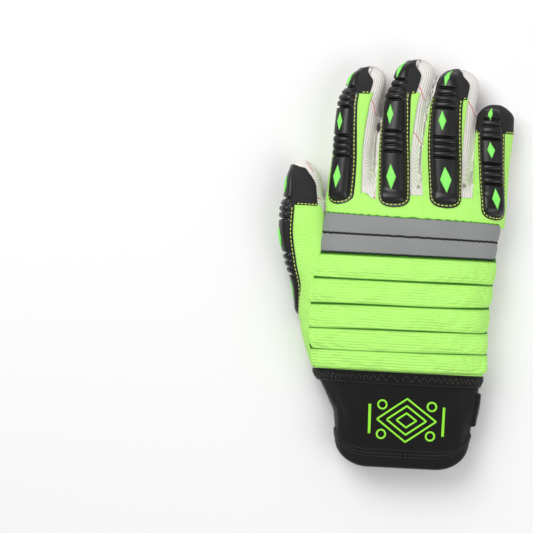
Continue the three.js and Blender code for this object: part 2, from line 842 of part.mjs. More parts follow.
function cuffBandSolid() {
  const from = seam / cuffLength;
  const to = bandWidth / cuffLength;
  const rings = turnsRound(handSides).map((turn) => [
    cuffPoint(from, turn, bandSeat),
    cuffPoint(from, turn, bandSeat + bandThickness),
    cuffPoint(to, turn, bandSeat + bandThickness),
    cuffPoint(to, turn, bandSeat),
  ]);
  return solidOf(closedBand(rings));
}

// A strap over the cuff between two turns, with a rounded end at the second. lifts are the heights
// of its lower side over the cuff at its start and past its first liftRows rows, and thickness is
// added to them. endRound is how many rows the rounding takes, and endBlunt keeps its end from
// running to a point.
const liftRows = 3;
const endBlunt = 0.12;

function strapForm(from, to, width, lifts, thickness, endRound) {
  const step = 360 / handSides;
  const rows = [];
  for (let turn = from; turn > to; turn -= step) rows.push(turn);
  rows.push(to);
  const middle = (bandWidth + patchMargin + 2 * seatGap + tabWidth / 2) / cuffLength;
  const grid = (upper) =>
    rows.map((turn, i) => {
      const left = Math.max(1 - (turn - to) / (endRound * step), 0);
      const half = (width / 2) * Math.sqrt(Math.max(1 - left * left, endBlunt));
      const rise = THREE.MathUtils.lerp(lifts[0], lifts[1], Math.min(i / liftRows, 1));
      const lift = rise + (upper ? thickness : 0);
      return [-half, 0, half].map((v) => cuffPoint(middle + v / cuffLength, turn, lift));
    });
  return solidOf(slab(grid(true), grid(false)));
}

const patchRound = 0.4;
const tabRound = 2;
const patchWidth = tabWidth + 2 * patchMargin;
const patchSlack = 2;

function patchSolid() {
  return strapForm(patchFrom, patchTo, patchWidth, [seatGap, seatGap], patchThickness, patchRound);
}

function tabSolid() {
  const over = 2 * seatGap + patchThickness;
  const from = patchFrom + patchSlack;
  const grownPatch = strapForm(from, patchTo - patchSlack, patchWidth, [0, 0], over, patchRound);
  const tab = strapForm(tabFrom, tabTo, tabWidth, [seatGap, over], tabThickness, tabRound);
  return tab.subtract(grownPatch);
}

// The pieces, each a mesh of its own
const glove = new THREE.Group();

function addPiece(name, solid, material) {
  const mesh = new THREE.Mesh(geometryOf(solid), material);
  mesh.name = name;
  glove.add(mesh);
}

const caps = allCaps(-seam);
const greenWide = greenZone(-seam);
const green = shell.intersect(greenZone(seam)).subtract(caps);
addPiece('palm_front', shell.subtract(greenWide).subtract(caps), whiteCotton);
addPiece('hand_back', green.subtract(thumbSide(-seam)), fluorescentGreen);
addPiece('thumb_panel', green.intersect(thumbSide(seam)), fluorescentGreen);

for (const name of digitNames) {
  addPiece(`tip_cap_${name}`, shell.intersect(capZone(name, seam)), blackLeather);
  addPiece(`guard_${name}`, guardSolid(name), blackRubber);
  ['base', 'mid', 'tip'].forEach((place) => {
    addPiece(`diamond_${name}_${place}`, diamondSolid(name, place), greenRubber);
  });
}

for (let i = 0; i < pleatCount; i += 1) {
  addPiece(`back_pleat_${i + 1}`, backPiece(i, pleatProfile, pleatHeight), fluorescentGreen);
}
addPiece('reflective_strip_lower', backPiece(pleatCount, stripProfile, stripThickness), greyReflective);
addPiece('reflective_strip_upper', backPiece(pleatCount + 1, stripProfile, stripThickness), greyReflective);

addPiece('cuff', cuffSolid(), blackNeoprene);
addPiece('cuff_top_band', cuffBandSolid(), blackNeoprene);
addPiece('closure_base_patch', patchSolid(), blackHookLoop);
addPiece('closure_tab', tabSolid(), blackHookLoop);

// Origin at the middle of the glove's box, at the bottom
const box = new THREE.Box3().setFromObject(glove);
glove.position.set(-(box.min.x + box.max.x) / 2, -(box.min.y + box.max.y) / 2, -box.min.z);

export default glove;
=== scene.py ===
# %% [markdown]
# # An impact glove, dressed over its CAD frame
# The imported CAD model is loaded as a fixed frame. Each piece of cloth, leather and rubber is then
# made again as a finer surface in the same place, and takes over from the plain solid. Lengths are in
# millimetres in the formulas, as they are in the part's source, and become metres in the meshes.

# %% Frame and libraries
import json
import math

import bpy
import numpy as np
from mathutils import Matrix, Vector

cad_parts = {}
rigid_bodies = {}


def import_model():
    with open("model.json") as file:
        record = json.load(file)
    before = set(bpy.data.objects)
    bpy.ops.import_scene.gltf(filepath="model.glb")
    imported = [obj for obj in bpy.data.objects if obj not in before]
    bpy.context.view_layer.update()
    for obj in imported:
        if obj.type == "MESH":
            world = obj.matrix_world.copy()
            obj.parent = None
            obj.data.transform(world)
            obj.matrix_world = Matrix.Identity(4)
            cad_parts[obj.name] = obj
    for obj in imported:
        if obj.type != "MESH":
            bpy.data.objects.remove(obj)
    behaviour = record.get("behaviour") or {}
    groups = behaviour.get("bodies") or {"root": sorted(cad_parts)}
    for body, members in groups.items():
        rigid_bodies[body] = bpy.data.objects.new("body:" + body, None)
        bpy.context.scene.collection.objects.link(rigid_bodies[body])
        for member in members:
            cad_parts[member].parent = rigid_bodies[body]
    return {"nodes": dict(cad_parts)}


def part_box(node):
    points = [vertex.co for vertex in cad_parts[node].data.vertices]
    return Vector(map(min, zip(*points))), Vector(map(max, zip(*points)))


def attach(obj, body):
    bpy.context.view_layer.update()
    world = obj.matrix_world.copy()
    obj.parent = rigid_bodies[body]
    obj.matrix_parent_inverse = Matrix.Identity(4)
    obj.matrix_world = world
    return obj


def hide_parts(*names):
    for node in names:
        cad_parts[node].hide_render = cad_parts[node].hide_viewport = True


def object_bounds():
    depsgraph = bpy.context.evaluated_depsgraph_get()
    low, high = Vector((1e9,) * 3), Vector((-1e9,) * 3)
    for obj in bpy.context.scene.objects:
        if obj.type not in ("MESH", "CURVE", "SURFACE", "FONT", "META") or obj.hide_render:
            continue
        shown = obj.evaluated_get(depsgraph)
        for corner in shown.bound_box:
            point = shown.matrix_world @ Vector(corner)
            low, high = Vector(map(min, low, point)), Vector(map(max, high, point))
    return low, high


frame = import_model()
cad_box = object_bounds()
print("frame:", len(frame["nodes"]), "nodes, box", [tuple(round(v, 4) for v in p) for p in cad_box])

# %% [markdown]
# The source measures from the seam of hand and cuff. The cuff's box in the frame says how far that seam
# lies from the imported model's origin along the glove; the sideways shift is a given number. So every
# formula below can use the source's own numbers.

# %% The glove's named sizes, in millimetres
HAND_LENGTH, HAND_WIDTH, HAND_HEIGHT = 108.0, 113.0, 33.0
FINGER_LENGTH, FINGER_HEIGHT, FINGER_ARCH = 84.0, 23.5, 2.2
THUMB_REACH, THUMB_WIDTH, THUMB_HEIGHT = 127.3, 24.5, 25.5
WALL = 2.0
CUFF_LENGTH, CUFF_WALL, CUFF_CORNER = 57.0, 3.0, 17.0
HEM_WIDTH, HEM_THICKNESS = 10.0, 0.8
BAND_WIDTH, BAND_THICKNESS = 7.5, 0.9
TAB_WIDTH, TAB_THICKNESS, PATCH_THICKNESS, PATCH_MARGIN = 28.0, 2.2, 0.9, 3.0
PLEAT_HEIGHT, STRIP_THICKNESS = 3.4, 1.3
GUARD_WIDTH, GUARD_FLANGE, FLANGE_THICKNESS, GUARD_HEIGHT = 17.5, 2.9, 1.1, 4.2
RIB_DEPTH, RIB_ZONE = 1.7, 12.0
DIAMOND_LENGTH, DIAMOND_WIDTH, DIAMOND_THICKNESS = 16.0, 6.6, 0.7
CROWN = 0.62  # the core's crown is further out than the cloth, so a width measured there shrinks
SEAM, SEAT = 0.15, 0.3
HAND_ROUND, FINGER_ROUND = 2.6, 2.2
WIDEST, FLATTEN = 0.42 * HAND_HEIGHT, 1.2

low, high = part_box("cuff")
SHIFT = np.array([8.596, 1000 * high.y + SEAM, 0.0])
print("shift from the source's frame, mm:", SHIFT.round(2))

# %% Tables of sections: the source's tables, with a few rows fitted closer to the real glove
hand_rows = np.array([  # y, left, right, height, floor
    [0.0, -0.463, 0.449, 0.84, 0.1],
    [0.11, -0.504, 0.447, 0.92, 0.035],
    [0.24, -0.538, 0.446, 0.98, 0.0],
    [0.4, -0.544, 0.448, 1.0, 0.0],
    [0.6, -0.511, 0.467, 0.985, 0.0],
    [0.75, -0.471, 0.479, 0.95, 0.0],
    [0.87, -0.45, 0.497, 0.895, 0.0],
    [1.0, -0.436, 0.52, 0.785, 0.02],
    [1.04, -0.42, 0.508, 0.68, 0.06],
    [1.075, -0.4, 0.49, 0.52, 0.14],
])
finger_rows = {  # x, length, root, waist, top, lean, height
    "index": (-0.309, 0.932, 0.248, 0.215, 0.205, 0.076, 0.94),
    "middle": (-0.06, 1.0, 0.243, 0.245, 0.229, 0.083, 0.98),
    "ring": (0.188, 0.939, 0.245, 0.285, 0.264, 0.053, 1.0),
    "little": (0.436, 0.686, 0.186, 0.19, 0.207, 0.014, 0.81),
}
along_finger = np.array([  # at, width's own share, height, lean, arch
    [-0.22, 0.94, 0.9, 0.0, 1.0],
    [0.0, 1.0, 1.0, 0.0, 0.9],
    [0.33, 1.0, 1.0, 0.05, 0.6],
    [0.68, 1.0, 0.98, 0.38, 0.2],
    [0.85, 0.94, 0.9, 0.8, 0.1],
    [1.0, 0.94, 0.9, 1.0, -0.2],
])
thumb_rows = np.array([  # y, x, width, height
    [0.19, -0.415, 1.15, 0.86],
    [0.36, -0.434, 1.13, 0.95],
    [0.505, -0.492, 1.1, 1.0],
    [0.66, -0.541, 1.03, 1.0],
    [0.77, -0.55, 0.95, 0.96],
    [0.865, -0.556, 0.835, 0.88],
    [1.0, -0.582, 0.8, 0.86],
])
turns = {  # low, middle, high, cap from and to, cloth from and to, in degrees from up towards -X
    "index": (32, 37, 74, -12, 105, -22, 112),
    "middle": (11, 24, 58, -12, 72, -24, 66),
    "ring": (-6, 8, 29, -30, 58, -34, 62),
    "little": (-22, -1, 16, -84, 72, -98, 70),
    "thumb": (124, 78, 80, -36, 135, -45, 138),
}
layouts = {  # low, base, ribs low, mid, ribs high, tip, high, cap
    "index": (-0.098, 0.117, 0.358, 0.548, 0.741, 0.879, 0.975, 0.77),
    "middle": (-0.094, 0.126, 0.383, 0.58, 0.763, 0.905, 0.978, 0.735),
    "ring": (-0.087, 0.131, 0.381, 0.587, 0.764, 0.917, 0.98, 0.755),
    "little": (-0.219, 0.007, 0.269, 0.522, 0.744, 0.9, 0.985, 0.7),
    "thumb": (0.225, 0.352, 0.493, 0.614, 0.756, 0.87, 0.965, 0.772),
}
guard_sizes = {"index": 0.9, "middle": 1.0, "ring": 1.0, "little": 0.82, "thumb": 1.0}
thumb_seam = np.array([
    [-0.1, -0.45], [0.0, -0.462], [0.125, -0.482], [0.24, -0.496], [0.38, -0.503],
    [0.52, -0.502], [0.66, -0.47], [0.885, -0.444], [1.3, -0.444],
])
back_edges = np.array([  # left, right, from the cuff up
    [0.006, 0.02], [0.115, 0.132], [0.236, 0.256], [0.374, 0.396],
    [0.522, 0.525], [0.659, 0.662], [0.768, 0.757], [0.884, 0.857],
])
cuff_rows = np.array([  # at, left, right, height, floor
    [0.0, -0.463, 0.449, 0.84, 0.1],
    [0.14, -0.429, 0.432, 0.82, 0.135],
    [0.36, -0.374, 0.422, 0.78, 0.135],
    [0.56, -0.337, 0.413, 0.765, 0.135],
    [1.0, -0.33, 0.396, 0.74, 0.135],
])
DIGITS = list(turns)
PLACES = ("low", "base", "ribs_low", "mid", "ribs_high", "tip", "high", "cap")


# %% [markdown]
# ## Curves and sections
# The source joins its table rows with straight lines, which is enough for a solid. Here a smooth
# curve runs through the same rows: a cubic whose slope at each row is the harmonic mean of the slopes
# on both sides, so it never overshoots.

# %% A smooth curve through a table
def follow(xs, ys, at):
    """Cubic Hermite curve through (xs, ys) with harmonic-mean slopes, held flat past both ends."""
    xs, ys, at = np.asarray(xs, float), np.asarray(ys, float), np.asarray(at, float)
    h = np.diff(xs)
    d = np.diff(ys) / h
    m = np.zeros(len(xs))
    m[0], m[-1] = d[0], d[-1]
    same = d[:-1] * d[1:] > 0
    m[1:-1][same] = 2 * d[:-1][same] * d[1:][same] / (d[:-1][same] + d[1:][same])
    i = np.clip(np.searchsorted(xs, at) - 1, 0, len(h) - 1)
    t = np.clip((at - xs[i]) / h[i], 0, 1)
    a = ys[i] * (1 + 2 * t) * (1 - t) ** 2 + m[i] * h[i] * t * (1 - t) ** 2
    return a + ys[i + 1] * t * t * (3 - 2 * t) + m[i + 1] * h[i] * t * t * (t - 1)


def spread(low, high, share):
    return low + (high - low) * share


def smooth_step(a, b, x):
    t = np.clip((np.asarray(x, float) - a) / (b - a), 0, 1)
    return t * t * (3 - 2 * t)


def smooth_max(a, b, k):
    """The larger of a and b, rounded over k where they cross."""
    h = np.clip(0.5 + 0.5 * (a - b) / k, 0, 1)
    return b + (a - b) * h + k * h * (1 - h)


def section(x, z, w, up, deep, turn, power):
    """Superellipse: x - w sign(sin) |sin|^p sideways, and z + up (or deep, below) |cos|^p upwards."""
    a = np.radians(turn)
    s, c = np.sin(a), np.cos(a)
    px = x - w * np.sign(s) * np.abs(s) ** power
    pz = z + np.where(c > 0, up, deep) * np.sign(c) * np.abs(c) ** power
    return px, pz


# %% Points on the hand and on the digits
def hand_station(y):
    t = np.asarray(y, float) / HAND_LENGTH
    left, right, height, floor = (follow(hand_rows[:, 0], hand_rows[:, c], t) for c in (1, 2, 3, 4))
    x = (left + right) / 2 * HAND_WIDTH
    w = (right - left) / 2 * HAND_WIDTH
    return x, w, height * HAND_HEIGHT - WIDEST, WIDEST - floor * HAND_HEIGHT + FLATTEN, floor * HAND_HEIGHT


def hand_point(y, turn, lift):
    """A point on the hand's section at y, turned from straight up towards -X, its underside flat."""
    x, w, up, deep, floor = hand_station(y)
    px, pz = section(x, WIDEST, w + lift, up + lift, deep + lift, turn, 2 / HAND_ROUND)
    pz = smooth_max(pz, floor - lift, 0.8)
    return np.stack(np.broadcast_arrays(px, y, pz), -1)


def hand_top(x, y, lift=0.0):
    """Height of the hand's back over (x, y)."""
    cx, w, up, _, _ = hand_station(y)
    across = np.clip(np.abs(x - cx) / (w + lift), 0, 1)
    return WIDEST + (up + lift) * (1 - across ** HAND_ROUND) ** (1 / HAND_ROUND)


def digit_span(name):
    """The line where a digit starts counting, and the y of its tip."""
    if name == "thumb":
        return 0.0, THUMB_REACH
    return HAND_LENGTH, HAND_LENGTH + finger_rows[name][1] * FINGER_LENGTH


def place(name, where):
    start, tip = digit_span(name)
    return start + layouts[name][PLACES.index(where)] * (tip - start)


def digit_station(name, y):
    """Middle x and z, half width and half height of a digit at y. The tip closes as an ellipse."""
    y = np.asarray(y, float)
    start, tip = digit_span(name)
    at = (y - start) / (tip - start)
    if name == "thumb":
        x = follow(thumb_rows[:, 0], thumb_rows[:, 1], at) * HAND_WIDTH
        w = follow(thumb_rows[:, 0], thumb_rows[:, 2], at) * THUMB_WIDTH / 2
        h = follow(thumb_rows[:, 0], thumb_rows[:, 3], at) * THUMB_HEIGHT / 2
        u = np.clip((at - 0.865) / 0.135, 0, 1)
        close = (1 - u ** 2.5) ** 0.5
        return x, np.full_like(x, THUMB_HEIGHT / 2), w * close, h * close
    fx, _, root, waist, top, lean, height = finger_rows[name]
    height = height * FINGER_HEIGHT
    own = np.array([0.94 * root, root, waist, top, 0.94 * top, 0.94 * top]) * HAND_WIDTH / 2
    w = follow(along_finger[:, 0], own, at)
    h = follow(along_finger[:, 0], along_finger[:, 2], at) * height / 2
    x = (fx + follow(along_finger[:, 0], along_finger[:, 3], at) * lean) * HAND_WIDTH
    z = height / 2 + follow(along_finger[:, 0], along_finger[:, 4], at) * FINGER_ARCH
    close = np.sqrt(1 - np.clip((at - 0.85) / 0.15, 0, 1) ** 2)
    return x, z, w * close, h * close


def digit_point(name, y, turn, lift):
    """A point on a digit's section, grown by lift. Past the start of the rounded tip y grows too."""
    start, tip = digit_span(name)
    x, z, w, h = digit_station(name, y)
    px, pz = section(x, z, w + lift, h + lift, h + lift, turn, 2 / FINGER_ROUND)
    near = np.clip(((y - start) / (tip - start) - 0.85) / 0.15, 0, 1) ** 2
    return np.stack(np.broadcast_arrays(px, y + lift * near, pz), -1)


# %% [markdown]
# ## Meshes
# Every surface is a grid of points. `skin` closes the grid's columns into a tube and puts a pole at
# each open end. The sign of the enclosed volume says whether the faces point outwards.

# %% Grids to meshes
def grid_faces(rows, columns, around):
    """Quads of a grid whose columns may close on themselves."""
    r = np.arange(rows - 1)[:, None]
    c = np.arange(columns if around else columns - 1)[None, :]
    n = (c + 1) % columns
    return np.stack([r * columns + c, r * columns + n, (r + 1) * columns + n, (r + 1) * columns + c], -1).reshape(-1, 4)


def volume_of(points, quads, triangles):
    faces = np.concatenate([quads[:, [0, 1, 2]], quads[:, [0, 2, 3]], triangles])
    a, b, c = points[faces[:, 0]], points[faces[:, 1]], points[faces[:, 2]]
    return float(np.einsum("ij,ij->i", a, np.cross(b, c)).sum()) / 6


def tube(grid):
    """A (rows, columns, 3) grid whose columns close on themselves, open at both ends."""
    rows, columns, _ = grid.shape
    return grid.reshape(-1, 3), grid_faces(rows, columns, True), np.zeros((0, 3), int)


def skin(grid, poles=True, ring=False):
    """Closed surface from a (rows, columns, 3) grid: columns close, and rows close too where ring."""
    rows, columns, _ = grid.shape
    points = grid.reshape(-1, 3)
    quads = grid_faces(rows, columns, True)
    triangles = np.zeros((0, 3), int)
    if ring:
        c = np.arange(columns)
        n = (c + 1) % columns
        last = (rows - 1) * columns
        quads = np.concatenate([quads, np.stack([last + c, last + n, n, c], -1)])
    elif poles:
        c = np.arange(columns)
        n = (c + 1) % columns
        first, last = len(points), len(points) + 1
        points = np.concatenate([points, grid[0].mean(0)[None], grid[-1].mean(0)[None]])
        end = (rows - 1) * columns
        triangles = np.concatenate([
            np.stack([n, c, np.full(columns, first)], -1),
            np.stack([end + c, end + n, np.full(columns, last)], -1),
        ])
    return outward(points, quads, triangles)


def outward(points, quads, triangles):
    if volume_of(points, quads, triangles) < 0:
        quads, triangles = quads[:, ::-1], triangles[:, ::-1]
    return points, quads, triangles


def closed_sheet(upper, lower):
    """Loop of columns over the upper grid and back under the lower one, its ends closed with quads."""
    points, quads, triangles = tube(np.concatenate([upper, lower[:, ::-1]], 1))
    columns = upper.shape[1]
    c = np.arange(columns - 1)
    end = len(points) - 2 * columns
    first = np.stack([c + 1, c, 2 * columns - 1 - c, 2 * columns - 2 - c], -1)
    last = end + np.stack([c, c + 1, 2 * columns - 2 - c, 2 * columns - 1 - c], -1)
    return outward(points, np.concatenate([quads, first, last]), triangles)


def join(parts):
    """Several (points, quads, triangles) as one."""
    sizes = np.cumsum([0] + [len(p[0]) for p in parts[:-1]])
    return (
        np.concatenate([p[0] for p in parts]),
        np.concatenate([p[1] + s for p, s in zip(parts, sizes)]),
        np.concatenate([p[2] + s for p, s in zip(parts, sizes)]),
    )


def make(name, shape, material, nodes=(), cloth=None):
    """A mesh object from a shape in millimetres of the source's frame. cloth is its pattern place."""
    points, quads, triangles = shape
    mesh = bpy.data.meshes.new(name)
    places = (np.asarray(points) + SHIFT) / 1000
    mesh.from_pydata(places.tolist(), [], quads.tolist() + triangles.tolist())
    mesh.polygons.foreach_set("use_smooth", np.ones(len(mesh.polygons), bool))
    if cloth is not None:
        pattern = np.zeros((len(places), 3))
        pattern[: len(cloth)] = cloth
        layer = mesh.attributes.new("cloth", "FLOAT_VECTOR", "POINT")
        layer.data.foreach_set("vector", pattern.astype(np.float32).ravel())
    mesh.update()
    piece = bpy.data.objects.new(name, mesh)
    bpy.context.scene.collection.objects.link(piece)
    mesh.materials.append(material)
    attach(piece, "root")
    if nodes:
        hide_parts(*nodes)
    print(f"{name}: {len(mesh.vertices)} points, {len(mesh.polygons)} faces")
    return piece


# %% [markdown]
# ## Materials
# Shader maths reads better as expressions. `Term` wraps a socket, so `1 - mask` or `ribs * 0.2` adds
# the Math node that it means. `Finish.node` makes any other node: its settings first, then what goes
# into its sockets.

# %% Shader expressions
class Term:
    """A socket in an expression."""

    def __init__(self, finish, socket):
        self.finish, self.socket = finish, socket

    def __getitem__(self, name):
        return Term(self.finish, self.socket.node.outputs[name])

    def math(self, operation, *others):
        return self.finish.node("ShaderNodeMath", {"operation": operation}, self, *others)

    def __add__(self, other):
        return self.math("ADD", other)

    def __sub__(self, other):
        return self.math("SUBTRACT", other)

    def __rsub__(self, other):
        return self.finish.node("ShaderNodeMath", {"operation": "SUBTRACT"}, other, self)

    def __mul__(self, other):
        return self.math("MULTIPLY", other)

    def __truediv__(self, other):
        return self.math("DIVIDE", other)

    __radd__ = __add__
    __rmul__ = __mul__

    def between(self, low, high):
        """0 below low, 1 above high, eased in between."""
        settings = {"interpolation_type": "SMOOTHSTEP"}
        return self.finish.node("ShaderNodeMapRange", settings, self, low, high)


class Finish:
    """A material under construction."""

    def __init__(self, name, **constants):
        self.material = bpy.data.materials.new(name)
        self.material.use_nodes = True
        self.tree = self.material.node_tree
        self.surface = self.tree.nodes["Principled BSDF"]
        for key, value in constants.items():
            self.surface.inputs[key.replace("_", " ")].default_value = value

    def put(self, socket, value):
        if isinstance(value, Term):
            self.tree.links.new(value.socket, socket)
        else:
            socket.default_value = value

    def node(self, kind, settings=None, *values, **named):
        made = self.tree.nodes.new(kind)
        for key, value in (settings or {}).items():
            if key == "stops":
                ramp = made.color_ramp.elements
                while len(ramp) < len(value):
                    ramp.new(0.5)
                for element, (at, color) in zip(ramp, value):
                    element.position, element.color = at, color
            else:
                setattr(made, key, value)
        for socket, value in zip(made.inputs, values):
            self.put(socket, value)
        for key, value in named.items():
            self.put(made.inputs[key.replace("_", " ")], value)
        return Term(self, made.outputs[0])

    def color(self, low, high, factor):
        """Mix of two colours by a number."""
        mix = self.node("ShaderNodeMix", {"data_type": "RGBA"}, Factor=factor)
        for socket, value in zip([s for s in mix.socket.node.inputs if s.type == "RGBA"], (low, high)):
            self.put(socket, value)
        return Term(self, [s for s in mix.socket.node.outputs if s.type == "RGBA"][0])

    def cloth(self):
        """The piece's own pattern place: x across, y along, z a mark: where red dashes may show on the cotton, painted
        shade in the folds on the pleats.
        """
        place = self.node("ShaderNodeAttribute", {"attribute_name": "cloth"})["Vector"]
        parts = self.node("ShaderNodeSeparateXYZ", None, place)
        return parts["X"], parts["Y"], parts["Z"], place

    def noise(self, scale, detail=2.0, vector=None, roughness=0.5):
        place = vector or self.node("ShaderNodeTexCoord")["Object"]
        return self.node("ShaderNodeTexNoise", None, Vector=place, Scale=scale, Detail=detail, Roughness=roughness)

    def finish(self, color, roughness=None, height=None, distance=0.0003):
        self.put(self.surface.inputs["Base Color"], color)
        if roughness is not None:
            self.put(self.surface.inputs["Roughness"], roughness)
        if height is not None:
            bump = self.node("ShaderNodeBump", None, Strength=1.0, Distance=distance, Height=height)
            self.put(self.surface.inputs["Normal"], bump)
        return self.material


def paint(red, green, blue):
    """An sRGB colour from 0 to 255 as the linear colour that a shader takes."""
    c = np.array([red, green, blue]) / 255
    linear = np.where(c <= 0.04045, c / 12.92, ((c + 0.055) / 1.055) ** 2.4)
    return (*linear.tolist(), 1.0)


# %% [markdown]
# ### Cloths
# The cotton is woven with raised cords 1.6 mm apart, and every 26 mm a dashed red thread runs along
# them. The green cloth is ribbed, and its dye is brighter than any paint, so both of its colours lie
# near the top of the range.

# %% Cotton
# Painted shade: small brown-grey spots on the cotton in the puckers at the finger roots, where shade falls between the
# fingers.
PUCKER_SHADE_SPOTS = ((5.6, 113.4, 20.0, 2.6), (33.6, 115.5, 20.0, 3.0), (-17.5, 117.0, 20.0, 1.8))


def cotton_finish():
    f = Finish("corded_cotton", Sheen_Weight=0.2, Sheen_Roughness=0.6, Specular_IOR_Level=0.15, Roughness=0.95)
    across, along, mark, place = f.cloth()
    sway = f.noise(60.0, 2.0) * 0.9
    cord = ((across + sway) * (2 * math.pi / 1.6)).math("SINE") * 0.5 + 0.5
    fibre = f.noise(2600.0, 3.0)
    shade = f.noise(140.0, 3.0)
    color = f.color(paint(226, 219, 213), paint(252, 248, 244), cord * 0.65 + shade * 0.45)
    stripe = (across / 26.0 + 0.31).math("FRACT") - 0.5
    line = 1 - (stripe.math("ABSOLUTE") * 26.0).between(0.22, 0.4)
    dash = ((along / 3.1).math("FRACT") - 0.5).math("ABSOLUTE").between(0.12, 0.18)
    color = f.color(color, paint(226, 120, 122), line * dash * mark)
    # Painted shade in the puckers at the finger roots: the cotton turns brown-grey in soft spots.
    pucker_shade = None
    flat = {"operation": "MULTIPLY"}
    here = f.node("ShaderNodeVectorMath", flat, f.node("ShaderNodeTexCoord")["Object"], (1.0, 1.0, 0.25))
    for x, y, z, radius in PUCKER_SHADE_SPOTS:
        middle = (np.array([x, y, z]) + SHIFT) / 1000 * (1.0, 1.0, 0.25)
        far = f.node("ShaderNodeVectorMath", {"operation": "DISTANCE"}, here, tuple(middle))["Value"]
        near = 1 - (far + f.noise(700.0) * 0.0015).between(0.0006, 0.001 * radius)
        pucker_shade = near if pucker_shade is None else pucker_shade.math("MAXIMUM", near)
    color = f.color(color, paint(92, 76, 58), pucker_shade * 0.85)
    return f.finish(color, None, cord * 0.7 + fibre * 0.5, 0.0004)


def green_finish(name, pitch, light, shade, depth, turned=False):
    f = Finish(name, Sheen_Weight=0.12, Specular_IOR_Level=0.2, Roughness=0.85)
    across, along, mark, place = f.cloth()
    run = across if turned else along
    sway = f.noise(45.0, 2.0) * 0.5
    rib = ((run + sway) * (2 * math.pi / pitch)).math("SINE") * 0.5 + 0.5
    weave = f.noise(3000.0, 2.0)
    cloud = f.noise(90.0, 2.0)
    tone = rib * 0.5 + cloud * 0.35 + 0.2
    color = f.color(shade, light, tone)
    # Painted shade: where the mark is 1, in the pleats' folds and under their lips, the green turns dark.
    color = f.color(color, paint(46, 112, 4), mark)
    return f.finish(color, None, rib * 0.8 + weave * 0.35, depth)


COTTON = cotton_finish()
LIGHT, SHADE = paint(194, 255, 132), paint(174, 246, 100)
PLEAT = green_finish("ribbed_green_pleat", 1.75, LIGHT, SHADE, 0.00035)
GREEN = green_finish("ribbed_green", 1.1, LIGHT, SHADE, 0.00022)
PANEL = green_finish("ribbed_green_panel", 1.5, LIGHT, SHADE, 0.00028)


# %% Leather, rubber, neoprene and tape
def grained(name, dark, light, scale, rough, depth, sheen=0.0):
    """Grain: pebbles of a cell pattern with fine noise between, darker in the creases."""
    f = Finish(name, Specular_IOR_Level=0.4, Sheen_Weight=sheen)
    where = f.node("ShaderNodeTexCoord")["Object"]
    cells = f.node("ShaderNodeTexVoronoi", {"feature": "DISTANCE_TO_EDGE"}, Vector=where, Scale=scale)
    pebble = cells.between(0.0, 0.35)
    fine = f.noise(scale * 4, 3.0)
    wear = f.noise(70.0, 3.0)
    color = f.color(dark, light, pebble * 0.5 + wear * 0.5)
    return f.finish(color, rough + fine * 0.15, pebble + fine * 0.6, depth)


def rubber(name, dark, light, rough):
    f = Finish(name, Specular_IOR_Level=0.5)
    cloud = f.noise(120.0, 3.0)
    fine = f.noise(1800.0, 2.0)
    return f.finish(f.color(dark, light, cloud), rough + cloud * 0.12, fine * 0.5 + cloud, 0.00006)


def neoprene():
    f = Finish("knit_neoprene", Specular_IOR_Level=0.2, Sheen_Weight=0.25, Roughness=0.92)
    across, along, mark, place = f.cloth()
    wale = (across * (2 * math.pi / 0.75)).math("SINE") * 0.5 + 0.5
    course = (along * (2 * math.pi / 0.6)).math("SINE") * 0.5 + 0.5
    cloud = f.noise(60.0, 3.0)
    color = f.color(paint(9, 9, 8), paint(24, 24, 22), wale * course * 0.5 + cloud * 0.5)
    return f.finish(color, None, wale * course + f.noise(2500.0) * 0.3, 0.00015)


def tape():
    f = Finish("reflective_tape", Specular_IOR_Level=0.4)
    across, along, mark, place = f.cloth()
    beads = f.node("ShaderNodeTexVoronoi", None, Vector=f.node("ShaderNodeTexCoord")["Object"], Scale=5200.0)
    cloud = f.noise(40.0, 3.0)
    color = f.color(paint(128, 130, 130), paint(149, 151, 151), cloud * 0.7 + beads * 0.3)
    return f.finish(color, cloud * 0.15 + 0.48, beads * 0.4 + cloud, 0.00008)


def hook_loop():
    f = Finish("hook_and_loop", Specular_IOR_Level=0.15, Sheen_Weight=0.5, Roughness=1.0)
    fuzz = f.noise(1500.0, 4.0, None, 0.7)
    cloud = f.noise(80.0, 3.0)
    color = f.color(paint(30, 30, 34), paint(66, 67, 76), fuzz * 0.7 + cloud * 0.3)
    return f.finish(color, None, fuzz + cloud * 0.4, 0.0006)


def thread(name, tone):
    f = Finish(name, Specular_IOR_Level=0.3, Roughness=0.7)
    twist = f.node("ShaderNodeTexWave", {"bands_direction": "DIAGONAL"}, Scale=900.0, Distortion=1.0,
                   Vector=f.node("ShaderNodeTexCoord")["Object"])["Fac"]
    dark = tuple(0.78 * v for v in tone[:3]) + (1.0,)
    return f.finish(f.color(dark, tone, twist), None, twist, 0.00008)


LEATHER = grained("grained_leather", paint(12, 12, 12), paint(40, 40, 40), 900.0, 0.55, 0.00018)
GUARD = rubber("moulded_rubber", paint(6, 6, 6), paint(14, 14, 14), 0.24)
DIAMOND = rubber("green_rubber", paint(120, 238, 84), paint(152, 255, 118), 0.45)
NEOPRENE = neoprene()
TAPE = tape()
HOOK = hook_loop()
YELLOW_THREAD = thread("yellow_green_thread", paint(226, 250, 118))
RED_THREAD = thread("red_thread", paint(232, 122, 122))
BLACK_THREAD = thread("black_thread", paint(30, 30, 30))
GREEN_THREAD = thread("green_thread", paint(84, 170, 20))
INK = rubber("green_ink", paint(138, 230, 40), paint(160, 250, 60), 0.6)
CUFF_THREAD = thread("charcoal_thread", paint(60, 60, 58))
CREAM_THREAD = thread("cream_thread", paint(214, 205, 150))

# %% [markdown]
# ## The cotton body
# The palm, the finger fronts and the thumb are one hollow cotton body. Its hand, fingers and thumb
# are six closed tubes; a voxel remesh melts each set of tubes into one skin, and the inner skin and
# everything past the wrist are then cut away from the outer one.

